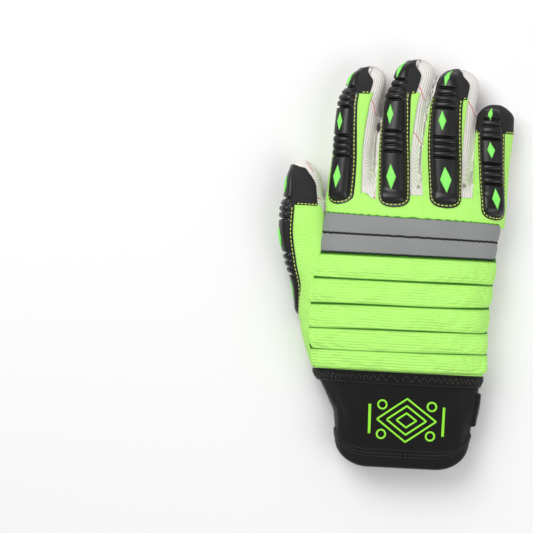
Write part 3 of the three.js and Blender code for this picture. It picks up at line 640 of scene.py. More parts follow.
# %% Tubes of the hand and the digits
def digit_heights(name, count, first=None):
    """Heights up a digit, crowded where the tip rounds off."""
    start, tip = digit_span(name)
    table = thumb_rows if name == "thumb" else along_finger
    bend = 0.865 if name == "thumb" else 0.85
    low = table[0, 0] if first is None else (first - start) / (tip - start)
    straight = np.linspace(low, bend, count)
    curved = bend + (1 - bend) * np.sin(np.linspace(0, math.pi / 2, count // 2)[1:-1])
    return start + np.concatenate([straight, curved, [0.9985]]) * (tip - start)


def digit_tube(name, lift):
    y = digit_heights(name, 40)[:, None]
    return skin(digit_point(name, y, np.linspace(0, 360, 64, endpoint=False)[None], lift))


def hand_tube(lift, start):
    y = np.linspace(start, 1.075 * HAND_LENGTH + min(lift, 0), 90)[:, None]
    return skin(hand_point(y, np.linspace(0, 360, 150, endpoint=False)[None], lift))


def melted(name, lift, start, voxel):
    """One skin round all the tubes: joined, and remeshed on a grid of voxels."""
    points, quads, triangles = join([hand_tube(lift, start)] + [digit_tube(n, lift) for n in DIGITS])
    mesh = bpy.data.meshes.new(name)
    mesh.from_pydata(points.tolist(), [], quads.tolist() + triangles.tolist())
    piece = bpy.data.objects.new(name, mesh)
    bpy.context.scene.collection.objects.link(piece)
    remesh = piece.modifiers.new("melt", "REMESH")
    remesh.mode = "VOXEL"
    remesh.voxel_size = voxel
    ease = piece.modifiers.new("ease", "SMOOTH")
    ease.factor, ease.iterations = 0.5, 6
    return piece


def applied(piece):
    """The piece's mesh with its modifiers applied."""
    graph = bpy.context.evaluated_depsgraph_get()
    mesh = bpy.data.meshes.new_from_object(piece.evaluated_get(graph))
    return mesh


def arrays(mesh):
    points = np.zeros(len(mesh.vertices) * 3)
    mesh.vertices.foreach_get("co", points)
    return points.reshape(-1, 3)


# %% Where each point of the body lies on the cloth
def thumb_side(x, y):
    """True on the thumb's side of the seam that runs from its crotch to the hand's edge."""
    return x < -50.0 - 13.0 * np.clip((98.0 - y) / 58.0, 0, 1.2) ** 1.3


def cord_place(points):
    """Pattern place: across the cords, along them, and a mark where red dashes may show.

    On the palm the cords follow x. Up a finger they turn into the arc round it, girth * angle from
    its underside, eased in over the finger's first quarter so that no step shows at its root.
    """
    x, y, z = points.T
    across, along = x.copy(), y.copy()
    mark = np.ones(len(points))
    best = np.full(len(points), 1e9)
    for name in DIGITS[:4]:
        cx, cz, w, h = digit_station(name, y)
        w, h = np.maximum(w, 3.0), np.maximum(h, 3.0)
        far = np.hypot((x - cx) / w, (z - cz) / h)
        use = (y > HAND_LENGTH) & (far < best)
        best = np.where(use, far, best)
        root = digit_station(name, HAND_LENGTH)[0]
        arc = root + 11.5 * np.arctan2((x - cx) / w, (cz - z) / h)
        eased = smooth_step(HAND_LENGTH, 1.3 * HAND_LENGTH, y)
        across = np.where(use, spread(x, arc, eased), across)
        mark = np.where(use & (z > cz - 0.35 * h), 0.0, mark)
    thumb = thumb_side(x, y) & (y > 36)
    return np.stack([np.where(thumb, y, across), np.where(thumb, x, along), np.where(thumb & (z > 12), 0, mark)], -1)


# %% The folds of the cotton
dents = np.array([  # x, y, z of the middle, radius, depth in mm: puckers at the finger roots
    [-21.0, 110.0, 20.0, 7.0, 1.0], [7.5, 109.0, 21.0, 7.0, 1.0], [35.5, 108.0, 21.0, 7.0, 1.0],
    [-20.0, 131.0, 19.0, 5.0, 0.7], [9.5, 128.0, 19.0, 5.0, 0.7], [-48.0, 100.0, 16.0, 7.0, 0.9],
    [-21.0, 112.0, 4.0, 8.0, 1.0], [7.5, 111.0, 4.0, 8.0, 1.0], [35.5, 109.0, 4.0, 8.0, 1.0],
    [-44.0, 82.0, 3.0, 12.0, 1.1], [-30.0, 60.0, 0.0, 16.0, 1.2], [20.0, 30.0, 0.0, 22.0, 1.0],
])


def folded(points, normals):
    """Each dent pulls the cloth in by depth * exp(-(distance / radius)^2); two slow waves run along."""
    far = np.linalg.norm(points[:, None, :] - dents[None, :, :3], axis=2)
    pull = (dents[:, 4] * np.exp(-((far / dents[:, 3]) ** 2))).sum(1)
    x, y, z = points.T
    wave = 0.22 * np.sin(0.21 * y + 0.9 * np.sin(0.13 * x)) + 0.14 * np.sin(0.47 * x + 0.18 * y + 1.3)
    return points - normals * (pull + 0.5 * wave * smooth_step(4, 12, y))[:, None]


# %% Cotton body
outer = melted("outer_skin", -0.1, -6.0, 1.45)
inner = melted("inner_skin", -WALL, -16.0, 2.2)
wrist = bpy.data.meshes.new("wrist_cut")
corners = np.array([[sx * 90, sy, sz * 60 + 14] for sx in (-1, 1) for sy in (-30, SEAM) for sz in (-1, 1)])
wrist.from_pydata(corners.tolist(), [], [(0, 1, 3, 2), (4, 6, 7, 5), (0, 4, 5, 1), (2, 3, 7, 6), (0, 2, 6, 4), (1, 5, 7, 3)])
wrist_cut = bpy.data.objects.new("wrist_cut", wrist)
bpy.context.scene.collection.objects.link(wrist_cut)
outer.data = applied(outer)
outer.modifiers.clear()
inner.data = applied(inner)
inner.modifiers.clear()
normals = np.zeros(len(outer.data.vertices) * 3)
outer.data.vertices.foreach_get("normal", normals)
moved = folded(arrays(outer.data), normals.reshape(-1, 3))
outer.data.vertices.foreach_set("co", moved.ravel())
for cutter in (inner, wrist_cut):
    cut = outer.modifiers.new("hollow", "BOOLEAN")
    cut.operation, cut.solver, cut.object = "DIFFERENCE", "MANIFOLD", cutter
body_mesh = applied(outer)
body_points = arrays(body_mesh)
pattern = cord_place(body_points)
body_mesh.transform(Matrix.Diagonal((0.001, 0.001, 0.001, 1)))
for unused in (outer, inner, wrist_cut):
    bpy.data.objects.remove(unused)
body_mesh.vertices.foreach_set("co", ((body_points + SHIFT) / 1000).ravel())
layer = body_mesh.attributes.new("cloth", "FLOAT_VECTOR", "POINT")
layer.data.foreach_set("vector", pattern.astype(np.float32).ravel())
body_mesh.polygons.foreach_set("use_smooth", np.ones(len(body_mesh.polygons), bool))
body_mesh.materials.clear()
body_mesh.materials.append(COTTON)
cotton_body = bpy.data.objects.new("cotton_body", body_mesh)
bpy.context.scene.collection.objects.link(cotton_body)
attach(cotton_body, "root")
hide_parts("palm_front")
print("cotton_body:", len(body_mesh.vertices), "points", len(body_mesh.polygons), "faces")

# %% [markdown]
# ## The green back
# The green cloth lies on the cotton. On the hand it is one patch between the thumb's seam and the
# little finger's side. On each digit it is a patch that climbs onto the hand where the hand is higher.

# %% Riding on the higher surface
def ridden(point, lift, blend=2.5):
    """Points of a digit lifted onto the hand's back where that is higher, with a soft crossing."""
    x, y, z = point[..., 0], point[..., 1], point[..., 2]
    y_hand = np.clip(y, 0, 1.074 * HAND_LENGTH)
    over = hand_top(x, y_hand, lift) - 9.0 * smooth_step(1.06 * HAND_LENGTH, 1.075 * HAND_LENGTH, y)
    over = np.where(y > 1.075 * HAND_LENGTH, -50.0, over)
    near = np.abs(x - hand_station(y_hand)[0]) < hand_station(y_hand)[1]
    z = np.where(near, smooth_max(z, over, blend), z)
    return np.stack([x, y, z], -1)


def seam_turn(y):
    """The turn on the hand's section at which the thumb's seam lies."""
    x, w, _, _, _ = hand_station(y)
    seam_x = follow(thumb_seam[:, 0], thumb_seam[:, 1], y / HAND_LENGTH) * HAND_WIDTH + 2 * SEAT
    across = np.clip((x - seam_x) / w, 0, 1)
    return np.degrees(np.arcsin(across ** (HAND_ROUND / 2)))


def laid(point_at, rows, columns, lift, thickness, edge):
    """A cloth patch over (s, t) in 0..1. It is lift high, and its edges dip over the share edge."""
    s = np.linspace(0, 1, rows)[:, None]
    t = np.linspace(0, 1, columns)[None]
    rim = np.minimum(np.minimum(s, 1 - s) * rows / columns * 1.0, np.minimum(t, 1 - t))
    dip = 1 - np.sqrt(1 - np.clip(1 - rim / edge, 0, 1) ** 2)
    upper = point_at(s, t, lift - 0.6 * thickness * dip)
    lower = point_at(s, t, lift - thickness + 0 * s * t)
    return upper, lower


# %% Green patch over the hand
def back_place(s, t, lift):
    gap_x = np.array([-21.1, 6.5, 34.7])
    reach = hand_point(0.97 * HAND_LENGTH, spread(20.0, -101.0, t), lift)[..., 0]
    near = np.clip(np.abs(reach[..., None] - gap_x).min(-1) / 5.5, 0, 1)
    top = 0.955 * HAND_LENGTH + 5.0 * (1 - np.sqrt(1 - near ** 2))
    y = spread(-0.2, top, s)
    start = seam_turn(y)
    start = np.where(y > 0.9 * HAND_LENGTH, start + 6 * smooth_step(0.9, 0.98, y / HAND_LENGTH), start)
    turn = spread(start, -101.0, t)
    return hand_point(y, turn, lift)


def patch_pattern(point_rows, upper):
    """Pattern place of a sheet: distance along the columns, then along the rows."""
    across = np.concatenate([np.zeros((upper.shape[0], 1)), np.linalg.norm(np.diff(upper, axis=1), axis=2).cumsum(1)], 1)
    along = upper[..., 1]
    place = np.stack([across, along, np.zeros_like(along)], -1)
    return np.concatenate([place, place[:, ::-1]], 1).reshape(-1, 3)


upper, lower = laid(back_place, 120, 130, 0.7, 0.9, 0.02)
make("green_back", closed_sheet(upper, lower), GREEN, ["hand_back"], patch_pattern(None, upper))


# %% Green patches on the fingers
def finger_green(name):
    _, _, _, _, _, a, b = turns[name]
    top = place(name, "cap") + 1.0

    def at(s, t, lift):
        y = spread(0.84 * HAND_LENGTH, top, s) + 0 * t
        turn = spread(float(a), float(b), t)
        return ridden(digit_point(name, y, turn, lift), lift)

    upper, lower = laid(at, 90, 40, 0.8, 0.9, 0.03)
    return closed_sheet(upper, lower), patch_pattern(None, upper)


for name in DIGITS[:4]:
    shape, pattern = finger_green(name)
    make(f"green_side_{name}", shape, GREEN, (), pattern)


# %% [markdown]
# The thumb's green panel runs from the wrist up the thumb's outer side to its cap. It covers whichever
# is further out, the hand or the thumb, seen from a line inside both.

# %% Green panel of the thumb
def thumb_side_place(y, turn, lift):
    """Rays from the line x = -46, z = 13: the further of the hand's and the thumb's skin, softly joined."""
    origin_x = spread(-40.0, -60.0, smooth_step(20, 100, y))
    angle = np.radians(turn)
    dx, dz = -np.sin(angle), np.cos(angle)

    def reach(cx, cz, w, up, deep, power):
        """Distance along the ray to a superellipse, by halving the interval 24 times."""
        near, far = np.zeros_like(dx * w), np.full_like(dx * w, 60.0)
        for _ in range(24):
            middle = (near + far) / 2
            px, pz = origin_x + middle * dx - cx, 13.0 + middle * dz - cz
            h = np.where(pz > 0, up, deep)
            inside = np.abs(px / w) ** power + np.abs(pz / h) ** power < 1
            near, far = np.where(inside, middle, near), np.where(inside, far, middle)
        return near

    cx, w, up, deep, floor = hand_station(y)
    hand = reach(cx, WIDEST, w, up, deep, HAND_ROUND)
    hand = hand * (1 - smooth_step(58, 84, y))
    ty = np.clip(y, 0.19 * THUMB_REACH, THUMB_REACH)
    tx, tz, tw, th = digit_station("thumb", ty)
    thumb = reach(tx, tz, tw, th, th, FINGER_ROUND) * smooth_step(0.12 * THUMB_REACH, 0.24 * THUMB_REACH, y)
    far = smooth_max(hand, thumb, 3.0) + lift
    z = np.maximum(13.0 + far * dz, -lift)
    return np.stack(np.broadcast_arrays(origin_x + far * dx, y + 0 * turn, z), -1)


def panel_edge(y):
    """The turn, seen from the panel's inner line, at which the panel meets the back's seam."""
    turns_tried = np.linspace(110.0, -60.0, 240)
    seam_x = follow(thumb_seam[:, 0], thumb_seam[:, 1], y / HAND_LENGTH) * HAND_WIDTH + 1.7
    x = np.maximum.accumulate(thumb_side_place(y, turns_tried[None], 0.0)[..., 0], axis=1)
    edge = np.array([np.interp(goal, row, turns_tried) for goal, row in zip(seam_x[:, 0], x)])[:, None]
    return spread(edge, -38.0, smooth_step(90, 100, y))


def thumb_green_place(s, t, lift):
    y = spread(-0.2, place("thumb", "cap") + 1.0, s) + 0 * t
    lower_edge = spread(116.0, 138.0, smooth_step(10, 70, y))
    return thumb_side_place(y, spread(panel_edge(y[:, :1]), lower_edge, t), lift)


upper, lower = laid(thumb_green_place, 120, 56, 0.9, 1.0, 0.03)
slanted = patch_pattern(None, upper)
slanted[:, 1] += 0.85 * slanted[:, 0] * (1 - smooth_step(45, 75, slanted[:, 1]))
make("green_thumb_side", closed_sheet(upper, lower), PANEL, ["thumb_panel"], slanted)


# %% [markdown]
# ## Leather caps
# Each fingertip has a grained leather cap over its back and sides, sewn on along its lower edge.

# %% Caps
CAP_SHORT = {"index": 1.7, "middle": 1.7, "ring": 1.0, "little": 0.4, "thumb": 3.0}


def cap_place(name):
    _, _, _, a, b, _, _ = turns[name]
    start, tip = digit_span(name)
    y = digit_heights(name, 30, place(name, "cap"))[:, None]

    far = smooth_step(0.86, 1.0, (y - start) / (tip - start))
    short = CAP_SHORT[name] * far

    def at(lift, dip):
        t = np.linspace(0, 1, 46)[None]
        turn = spread(a + 26.0 * far, float(b), t)
        point = digit_point(name, y, turn, lift - dip)
        return point - np.array([0.0, 1.0, 0.0]) * short[..., None]

    t = np.linspace(0, 1, 46)[None]
    s = (np.arange(len(y)) / (len(y) - 1))[:, None]
    rim = np.minimum(np.minimum(t, 1 - t) * 1.2, s * 2)
    dip = 1.1 * (1 - np.sqrt(1 - np.clip(1 - rim / 0.05, 0, 1) ** 2))
    return at(1.1, dip), at(-0.2, 0 * dip)


for name in DIGITS:
    upper, lower = cap_place(name)
    make(f"leather_cap_{name}", closed_sheet(upper, lower), LEATHER, [f"tip_cap_{name}"])


# %% [markdown]
# ## Moulded guards
# A guard is one moulding: a thin stitched flange round a rounded core. Its profile is carried along
# the digit. Across, the core rises as a rounded shoulder; along, three ridges and four grooves make
# each set of ribs, and both ends close in a round.

# %% Guard surface
def guard_turn(name, y):
    low, middle, high = turns[name][:3]
    first, last = place(name, "low"), place(name, "high")
    share = np.clip((y - first) / (last - first), 0, 1)
    return low + share * (high - low) + 2 * (high + low - 2 * middle) * share * (share - 1)


def over_digit(name, y, across, lift):
    """A point over a digit, across millimetres from the guard's middle line and lift above the cloth."""
    x, z, w, h = digit_station(name, y)
    radius = np.maximum((w + h) / 2, GUARD_WIDTH / 3)
    point = digit_point(name, y, guard_turn(name, y) + np.degrees(across / radius), lift)
    return point if name == "thumb" else ridden(point, lift, 1.2)


def guard_half(name, y):
    """Half the guard's width at y: round at the lower end, narrowing past the upper ribs."""
    half = guard_sizes[name] * GUARD_WIDTH / 2
    low, high = place(name, "low"), place(name, "high")
    round_low = np.sqrt(1 - np.clip(1 - (y - low) / 7.0, 0, 1) ** 2.4)
    upper = place(name, "ribs_high")
    taper = follow([upper, place(name, "tip"), high - 1.0, high], [1.0, 0.84, 0.6, 0.42], y)
    return half * round_low * taper


def guard_core(name, y):
    """Height of the core: full between its ends, with grooves cut across it at the two sets of ribs."""
    low, high = place(name, "low"), place(name, "high")
    full = np.sqrt(1 - np.clip(1 - (y - low - 2.6) / 5.0, 0, 1) ** 2) * smooth_step(low + 2.4, low + 3.2, y)
    full = full * follow([place(name, "ribs_high"), place(name, "tip"), high], [1.0, 0.74, 0.12], y)
    core = GUARD_HEIGHT * full
    for where in ("ribs_low", "ribs_high"):
        t = (y - place(name, where)) / RIB_ZONE
        zone = smooth_step(-0.60, -0.54, t) * (1 - smooth_step(0.54, 0.60, t))
        phase = np.abs(((t * 3 + 0.5) % 1) * 2 - 1)
        ridge = np.sqrt(1 - np.clip(phase, 0, 0.97) ** 2.6)
        inside = smooth_step(-0.5, -0.499, t) * (1 - smooth_step(0.499, 0.5, t))
        core = core - zone * RIB_DEPTH * (1.35 - 1.5 * ridge * inside)
    return core


def guard_lift(name, y, v):
    """Height over the cloth at v, from -1 to 1 across: rounded rim, stitched flange, then the core."""
    half = guard_half(name, y)
    across = np.abs(v) * half
    seam = place(name, "cap")
    flange = FLANGE_THICKNESS - 0.9 * smooth_step(seam + 0.5, seam + 2.5, y)
    rim = flange * np.sqrt(1 - np.clip(1 - (half - across) / 0.6, 0, 1) ** 2)
    core_half = np.maximum(half - guard_sizes[name] * GUARD_FLANGE * np.minimum(2 * half / GUARD_WIDTH, 1), 0.4 * half)
    share = np.clip(across / core_half, 0, 1)
    dome = (1 - share ** 3.2) ** 0.5
    core = np.maximum(guard_core(name, y) - FLANGE_THICKNESS, 0)
    return SEAT + rim + core * dome


def guard_heights(name, count):
    low, high = place(name, "low"), place(name, "high")
    return low + 0.02 + (high - low - 0.02) * (1 - np.cos(np.linspace(0, 1, count) ** 0.9 * math.pi)) / 2


def guard_shape(name):
    low, high = place(name, "low"), place(name, "high")
    y = np.linspace(low + 0.03, high, 215)[:, None]
    v = np.sin(np.linspace(-1, 1, 44) * math.pi / 2)[None]
    upper = over_digit(name, y, v * guard_half(name, y), guard_lift(name, y, v))
    lower = over_digit(name, y, v * guard_half(name, y), -0.5 + 0 * v)
    return closed_sheet(upper, lower)


for name in DIGITS:
    make(f"moulded_guard_{name}", guard_shape(name), GUARD, [f"guard_{name}"])

# %% Diamonds
diamond_sizes = {"base": 1.0, "mid": 0.78, "tip": 0.62}


def diamond_shape(name, where):
    """|u| + |v| <= 1 on the guard: a grid pinched to a rhomb, flat on top with a soft edge."""
    size = diamond_sizes[where] * guard_sizes[name]
    long, wide = size * DIAMOND_LENGTH / 2, CROWN * size * DIAMOND_WIDTH / 2
    u = np.linspace(-0.985, 0.985, 33)[:, None]
    v = np.sin(np.linspace(-1, 1, 15) * math.pi / 2)[None]
    span = 1 - np.abs(u)
    edge = np.clip((1 - np.abs(v)) * span * 3.2, 0, 1) ** 0.5
    y = place(name, where) + u * long + 0 * v
    across = v * span * wide
    share = across / guard_half(name, y)
    base = guard_lift(name, y, share)
    upper = over_digit(name, y, across, base + DIAMOND_THICKNESS * edge)
    lower = over_digit(name, y, across, base - 0.5)
    return closed_sheet(upper, lower)


for name in DIGITS:
    for where in ("base", "mid", "tip"):
        make(f"inlay_{name}_{where}", diamond_shape(name, where), DIAMOND, [f"diamond_{name}_{where}"])

# %% [markdown]
# ## Padded pleats
# The back of the hand has five overlapping pads. A pad is filled cloth, so its shape is found with a
# cloth simulation: a flat-ish pillow grid, pinned along its sewn edges, is blown up by a small
# pressure without gravity, and its movement is capped before it is taken over.

# %% Rings across the back
def back_rings(number, rows, columns):
    """Turns across the hand, and y from a piece's lower edge to its upper one, both as grids."""
    low, high = back_edges[number], back_edges[number + 1]
    share = np.linspace(0, 1, columns)[None]
    s = np.linspace(0, 1, rows)[:, None]
    start = spread(low[0], low[1], share) * HAND_LENGTH
    end = spread(high[0], high[1], share) * HAND_LENGTH
    turn = spread(seam_turn((start + end) / 2), -98.0, share)
    return start, end, turn, s, share


def sausage(number, side, share, depth):
    """The pad's ends: rounded."""
    end = np.minimum(share, 1 - share)
    return np.sqrt(1 - np.clip(1 - end / depth, 0, 1) ** 2)


def pad_form(number, rows=30, columns=84):
    """A pillow over one pleat: round lower lip, long flat back, tucked upper edge."""
    start, end, turn, s, share = back_rings(number, rows, columns)
    overlap = 2.2
    y = spread(start - 0.9, end + overlap, s)
    lip = np.sqrt(1 - np.clip(1 - s / 0.13, 0, 1) ** 2)
    back = 1 - 0.78 * smooth_step(0.32, 0.84, s)
    side = smooth_step(0.8, 0.98, share)
    profile = (1 - side) * lip * back + side * np.sqrt(np.clip(4 * s * (1 - s), 0, 1)) * 0.95
    ends = sausage(number, 1, share, 0.045)
    puff = 1 + 0.10 * np.sin(7.3 * share * math.pi + 1.7 * number) * (share > 0) + 0.07 * np.sin(17 * share + number)
    lift = SEAT + 0.2 + (PLEAT_HEIGHT - 0.6) * profile * (0.25 + 0.75 * ends) * puff
    sway = 0.22 * np.sin(9.0 * share + 2.1 * number)
    upper = hand_point(y + sway * (1 - s), turn, lift)
    lower = hand_point(y + sway * (1 - s), turn, SEAT + 0.1 + 0 * s * share)
    return upper, lower


def blown(piece, pinned, pressure=4.0, cap=1.1, frames=14):
    """The piece after a cloth simulation: pinned points stay, and no point moves more than cap mm."""
    before = arrays(piece.data)
    group = piece.vertex_groups.new(name="sewn")
    for weight in np.unique(pinned):
        chosen = np.nonzero(pinned == weight)[0]
        group.add(chosen.tolist(), float(weight), "REPLACE")
    puff = piece.modifiers.new("puff", "CLOTH")
    settings = puff.settings
    settings.vertex_group_mass = "sewn"
    settings.use_pressure = True
    settings.uniform_pressure_force = pressure
    settings.shrink_min = -0.03
    settings.mass = 0.2
    settings.tension_stiffness = settings.compression_stiffness = settings.shear_stiffness = 18
    settings.bending_stiffness = 0.6
    settings.effector_weights.gravity = 0
    settings.quality = 5
    puff.collision_settings.use_collision = False
    puff.point_cache.frame_start, puff.point_cache.frame_end = 1, frames
    for step in range(1, frames + 1):
        bpy.context.scene.frame_set(step)
    after = arrays(applied(piece))
    piece.modifiers.remove(puff)
    bpy.context.scene.frame_set(1)
    step = after - before
    size = np.linalg.norm(step, axis=1, keepdims=True)
    limit = cap / 1000
    step = np.where(np.isfinite(step), step, 0) * np.minimum(1, limit / np.maximum(size, 1e-9))
    print(f"{piece.name}: cloth moved {1000 * size.mean():.2f} mm on average, {1000 * size.max():.2f} at most")
    piece.data.vertices.foreach_set("co", (before + step).ravel())
    piece.data.update()
    return piece


def fold_shade_marks(pattern, rows, columns):
    """Marks 1 under the lip, where the next pad covers this one, and on the underside: painted shade that darkens the
    green in the folds.
    """
    s = np.linspace(0, 1, rows)[:, None] + np.zeros((1, columns))
    mark = 1 - smooth_step(0.0, 0.03, s) + smooth_step(0.765, 0.80, s)
    pattern[:, 2] = np.concatenate([mark, np.ones_like(mark)], 1).ravel()
    return pattern


for number in range(5):
    upper, lower = pad_form(number)
    rows, columns, _ = upper.shape
    cloth = fold_shade_marks(patch_pattern(None, upper), rows, columns)
    pad = make(f"padded_pleat_{number + 1}", closed_sheet(upper, lower), PLEAT,
               [f"back_pleat_{number + 1}"], cloth)
    s = np.linspace(0, 1, rows)[:, None] + np.zeros((1, columns))
    t = np.linspace(0, 1, columns)[None] + np.zeros((rows, 1))
    rim = np.minimum(np.minimum(s * 1.2, 1 - s), np.minimum(t, 1 - t) * 4)
    free = np.where((rim < 0.06) | (s > 0.74), 1.0, 0.0)
    pins = np.concatenate([free, np.ones_like(free)], 1).ravel()
    pins = np.concatenate([pins, np.ones(len(pad.data.vertices) - len(pins))])
    blown(pad, pins)
    fine = pad.modifiers.new("fine", "SUBSURF")
    fine.levels = fine.render_levels = 1

# %% [markdown]
# ## Reflective strip
# Two bands of grey reflective tape cross the back side by side, with a wavy black thread between
# them, a ragged green edge above, darkened as painted shade, and a line of black stitches below
# as a painted shadow.

# %% Strips
def strip_form(number):
    start, end, turn, s, share = back_rings(number, 30, 140)
    y = spread(start + 0.1, end - 0.1, s)
    rim = np.minimum(np.minimum(s, 1 - s) * 12, np.minimum(share, 1 - share) * 100)
    edge = np.sqrt(1 - np.clip(1 - rim / 1.0, 0, 1) ** 2)
    wave = 0.10 * np.sin(31 * share + 3 * number) + 0.16 * np.sin(13 * share + 5.0 * s + number)
    bow = 0.35 * np.sin(math.pi * s)
    upper = hand_point(y, turn, SEAT + 0.35 + 1.0 * edge + (wave + bow) * edge)
    return closed_sheet(upper, hand_point(y, turn, SEAT - 0.2 + 0 * s * share)), patch_pattern(None, upper)


for number, name in ((5, "lower"), (6, "upper")):
    shape, cloth = strip_form(number)
    make(f"tape_{name}", shape, TAPE, [f"reflective_strip_{name}"], cloth)


# %% [markdown]
# ## The cuff
# The cuff is a knitted tube, open at the wrist and at the hem. Its section runs outside down to the
# hem and back inside; the hem is a thicker fold with its own stitches.

# %% Cuff surface
def cuff_station(at):
    left, right, height, floor = (follow(cuff_rows[:, 0], cuff_rows[:, c], at) for c in (1, 2, 3, 4))
    x = (left + right) / 2 * HAND_WIDTH
    w = (right - left) / 2 * HAND_WIDTH
    return x, w, height * HAND_HEIGHT - WIDEST, WIDEST - floor * HAND_HEIGHT + FLATTEN, floor * HAND_HEIGHT


def cuff_point(at, turn, grow):
    """A point of the cuff; its lower corners are drawn up by a rounded hem line."""
    x, w, up, deep, floor = cuff_station(at)
    px, pz = section(x, WIDEST, w + grow, up + grow, deep + grow, turn, 2 / HAND_ROUND)
    pz = smooth_max(pz, floor - grow, 0.8)
    end_x, end_w, _, _, _ = cuff_station(np.array(1.0))
    across = np.abs(px - end_x) / end_w
    share = np.clip((across - 0.5) / 0.5, 0, 1)
    rise = CUFF_CORNER * (1 - np.sqrt(1 - share ** 2))
    y = -at * (CUFF_LENGTH - at * rise)
    return np.stack(np.broadcast_arrays(px, y, pz), -1)


def cuff_dent(at, turn):
    """Soft hollows of the knit, in mm: slow waves that die out at both ends."""
    a = np.radians(turn)
    wave = 0.35 * np.sin(3 * a + 5 * at) + 0.25 * np.sin(7 * a - 9 * at + 1.0) + 0.15 * np.sin(15 * a + 4 * at)
    return wave * smooth_step(0.0, 0.2, at) * (1 - smooth_step(0.8, 1.0, at))


def cuff_loop():
    """Rows outside from the seam to the hem, round it, and inside back up to the seam."""
    hem = 1 - HEM_WIDTH / CUFF_LENGTH
    outer = np.concatenate([np.linspace(SEAM / CUFF_LENGTH, hem - 0.012, 70), np.linspace(hem, 1.0, 26)])
    turn = np.linspace(180, 540, 220, endpoint=False)[None]
    at = outer[:, None]
    fold = HEM_THICKNESS * smooth_step(hem - 0.006, hem + 0.022, at)
    stitch = -0.45 * np.exp(-(((at - hem - 0.045) * CUFF_LENGTH) / 0.5) ** 2)
    outside = cuff_point(at, turn, -0.1 + fold + stitch + cuff_dent(at, turn))
    lip = []
    for angle in np.linspace(0, math.pi, 9)[1:-1]:
        out = -0.1 + HEM_THICKNESS - (CUFF_WALL + HEM_THICKNESS) / 2 * (1 - math.cos(angle))
        edge = cuff_point(np.array([[1.0]]), turn, out)
        edge[..., 1] -= 1.4 * math.sin(angle)
        lip.append(edge)
    inner = np.linspace(1.0, SEAM / CUFF_LENGTH, 40)[:, None]
    inside = cuff_point(inner, turn, -CUFF_WALL + 0 * turn)
    return np.concatenate([outside, *lip, inside])


grid = cuff_loop()
girth = np.linalg.norm(np.diff(grid, axis=1, append=grid[:, :1]), axis=2)
across = np.concatenate([np.zeros((len(grid), 1)), girth[:, :-1].cumsum(1)], 1)
pattern = np.stack([across, grid[..., 1], np.zeros_like(across)], -1).reshape(-1, 3)
make("knit_cuff", skin(grid, ring=True), NEOPRENE, ["cuff"], pattern)


# %% Binding at the cuff's top
def cuff_wrap(low, high, lift, thickness, rows, columns, turn_from=0.0, turn_to=360.0, bulge=0.0):
    """A band round the cuff between two shares of its length."""
    at = np.linspace(low, high, rows)[:, None]
    s = np.linspace(0, 1, rows)[:, None]
    round_edge = np.sqrt(1 - np.clip(1 - np.minimum(s, 1 - s) / 0.16, 0, 1) ** 2)
    turn = np.linspace(turn_from, turn_to, columns, endpoint=turn_to - turn_from != 360.0)[None]
    wave = 0.12 * np.sin(np.radians(turn) * 23 + 40 * at)
    upper = cuff_point(at, turn, lift + thickness * (0.25 + 0.75 * round_edge) + wave * round_edge)
    lower = cuff_point(at, turn, lift - 0.35 + 0 * turn * at)
    return upper, lower


upper, lower = cuff_wrap(SEAM / CUFF_LENGTH, BAND_WIDTH / CUFF_LENGTH, 0.42, BAND_THICKNESS, 22, 300)
make("binding", skin(np.concatenate([upper, lower[::-1]]), ring=True), NEOPRENE, ["cuff_top_band"])

# %% Closure
tab_middle = (BAND_WIDTH + PATCH_MARGIN + 2 * SEAT + TAB_WIDTH / 2) / CUFF_LENGTH


def closure_sheet(turn_from, turn_to, width, thickness, lift_at, rounded):
    """A sheet round the cuff; its end rounds off where the half width closes as an ellipse."""
    turn = np.linspace(turn_from, turn_to, 130)[:, None]
    v = np.sin(np.linspace(-1, 1, 40) * math.pi / 2)[None]
    run = np.abs(turn - turn_to)
    close = np.sqrt(1 - np.clip(1 - run / rounded, 0, 1) ** 2.2)
    half = width / 2 * np.maximum(close, 0.02)
    at = tab_middle + v * half / CUFF_LENGTH
    rim = np.clip(np.minimum((1 - np.abs(v)) * half / 1.6, 1 - 0 * turn), 0, 1)
    edge = np.sqrt(1 - (1 - rim) ** 2)
    base = lift_at(np.abs(turn - turn_from))
    rim = rim * np.clip(np.abs(turn - turn_from) / 6.0, 0, 1)
    edge = np.sqrt(1 - (1 - rim) ** 2)
    wave = 0.2 * np.sin(0.11 * turn + 3 * v) + 0.12 * np.sin(0.31 * turn)
    upper = cuff_point(at, turn, base + thickness * (0.3 + 0.7 * edge) + wave * edge)
    lower = cuff_point(at, turn, base + 0 * v)
    return closed_sheet(upper, lower), patch_pattern(None, upper)


shape, cloth = closure_sheet(-140, -222, TAB_WIDTH + 2 * PATCH_MARGIN, PATCH_THICKNESS, lambda run: SEAT + 0 * run, 2.0)
make("rough_patch", shape, HOOK, ["closure_base_patch"], cloth)
shape, cloth = closure_sheet(-72, -211, TAB_WIDTH, TAB_THICKNESS,
                             lambda run: SEAT + 1.2 * smooth_step(10, 60, run), 26.0)
make("closing_tab", shape, NEOPRENE, ["closure_tab"], cloth)

# %% [markdown]
# ## Threads
# A stitch is a little capsule laid on the surface. All stitches of a seam are one mesh: one capsule is
# copied to every place by adding arrays, with its long axis turned along the seam.

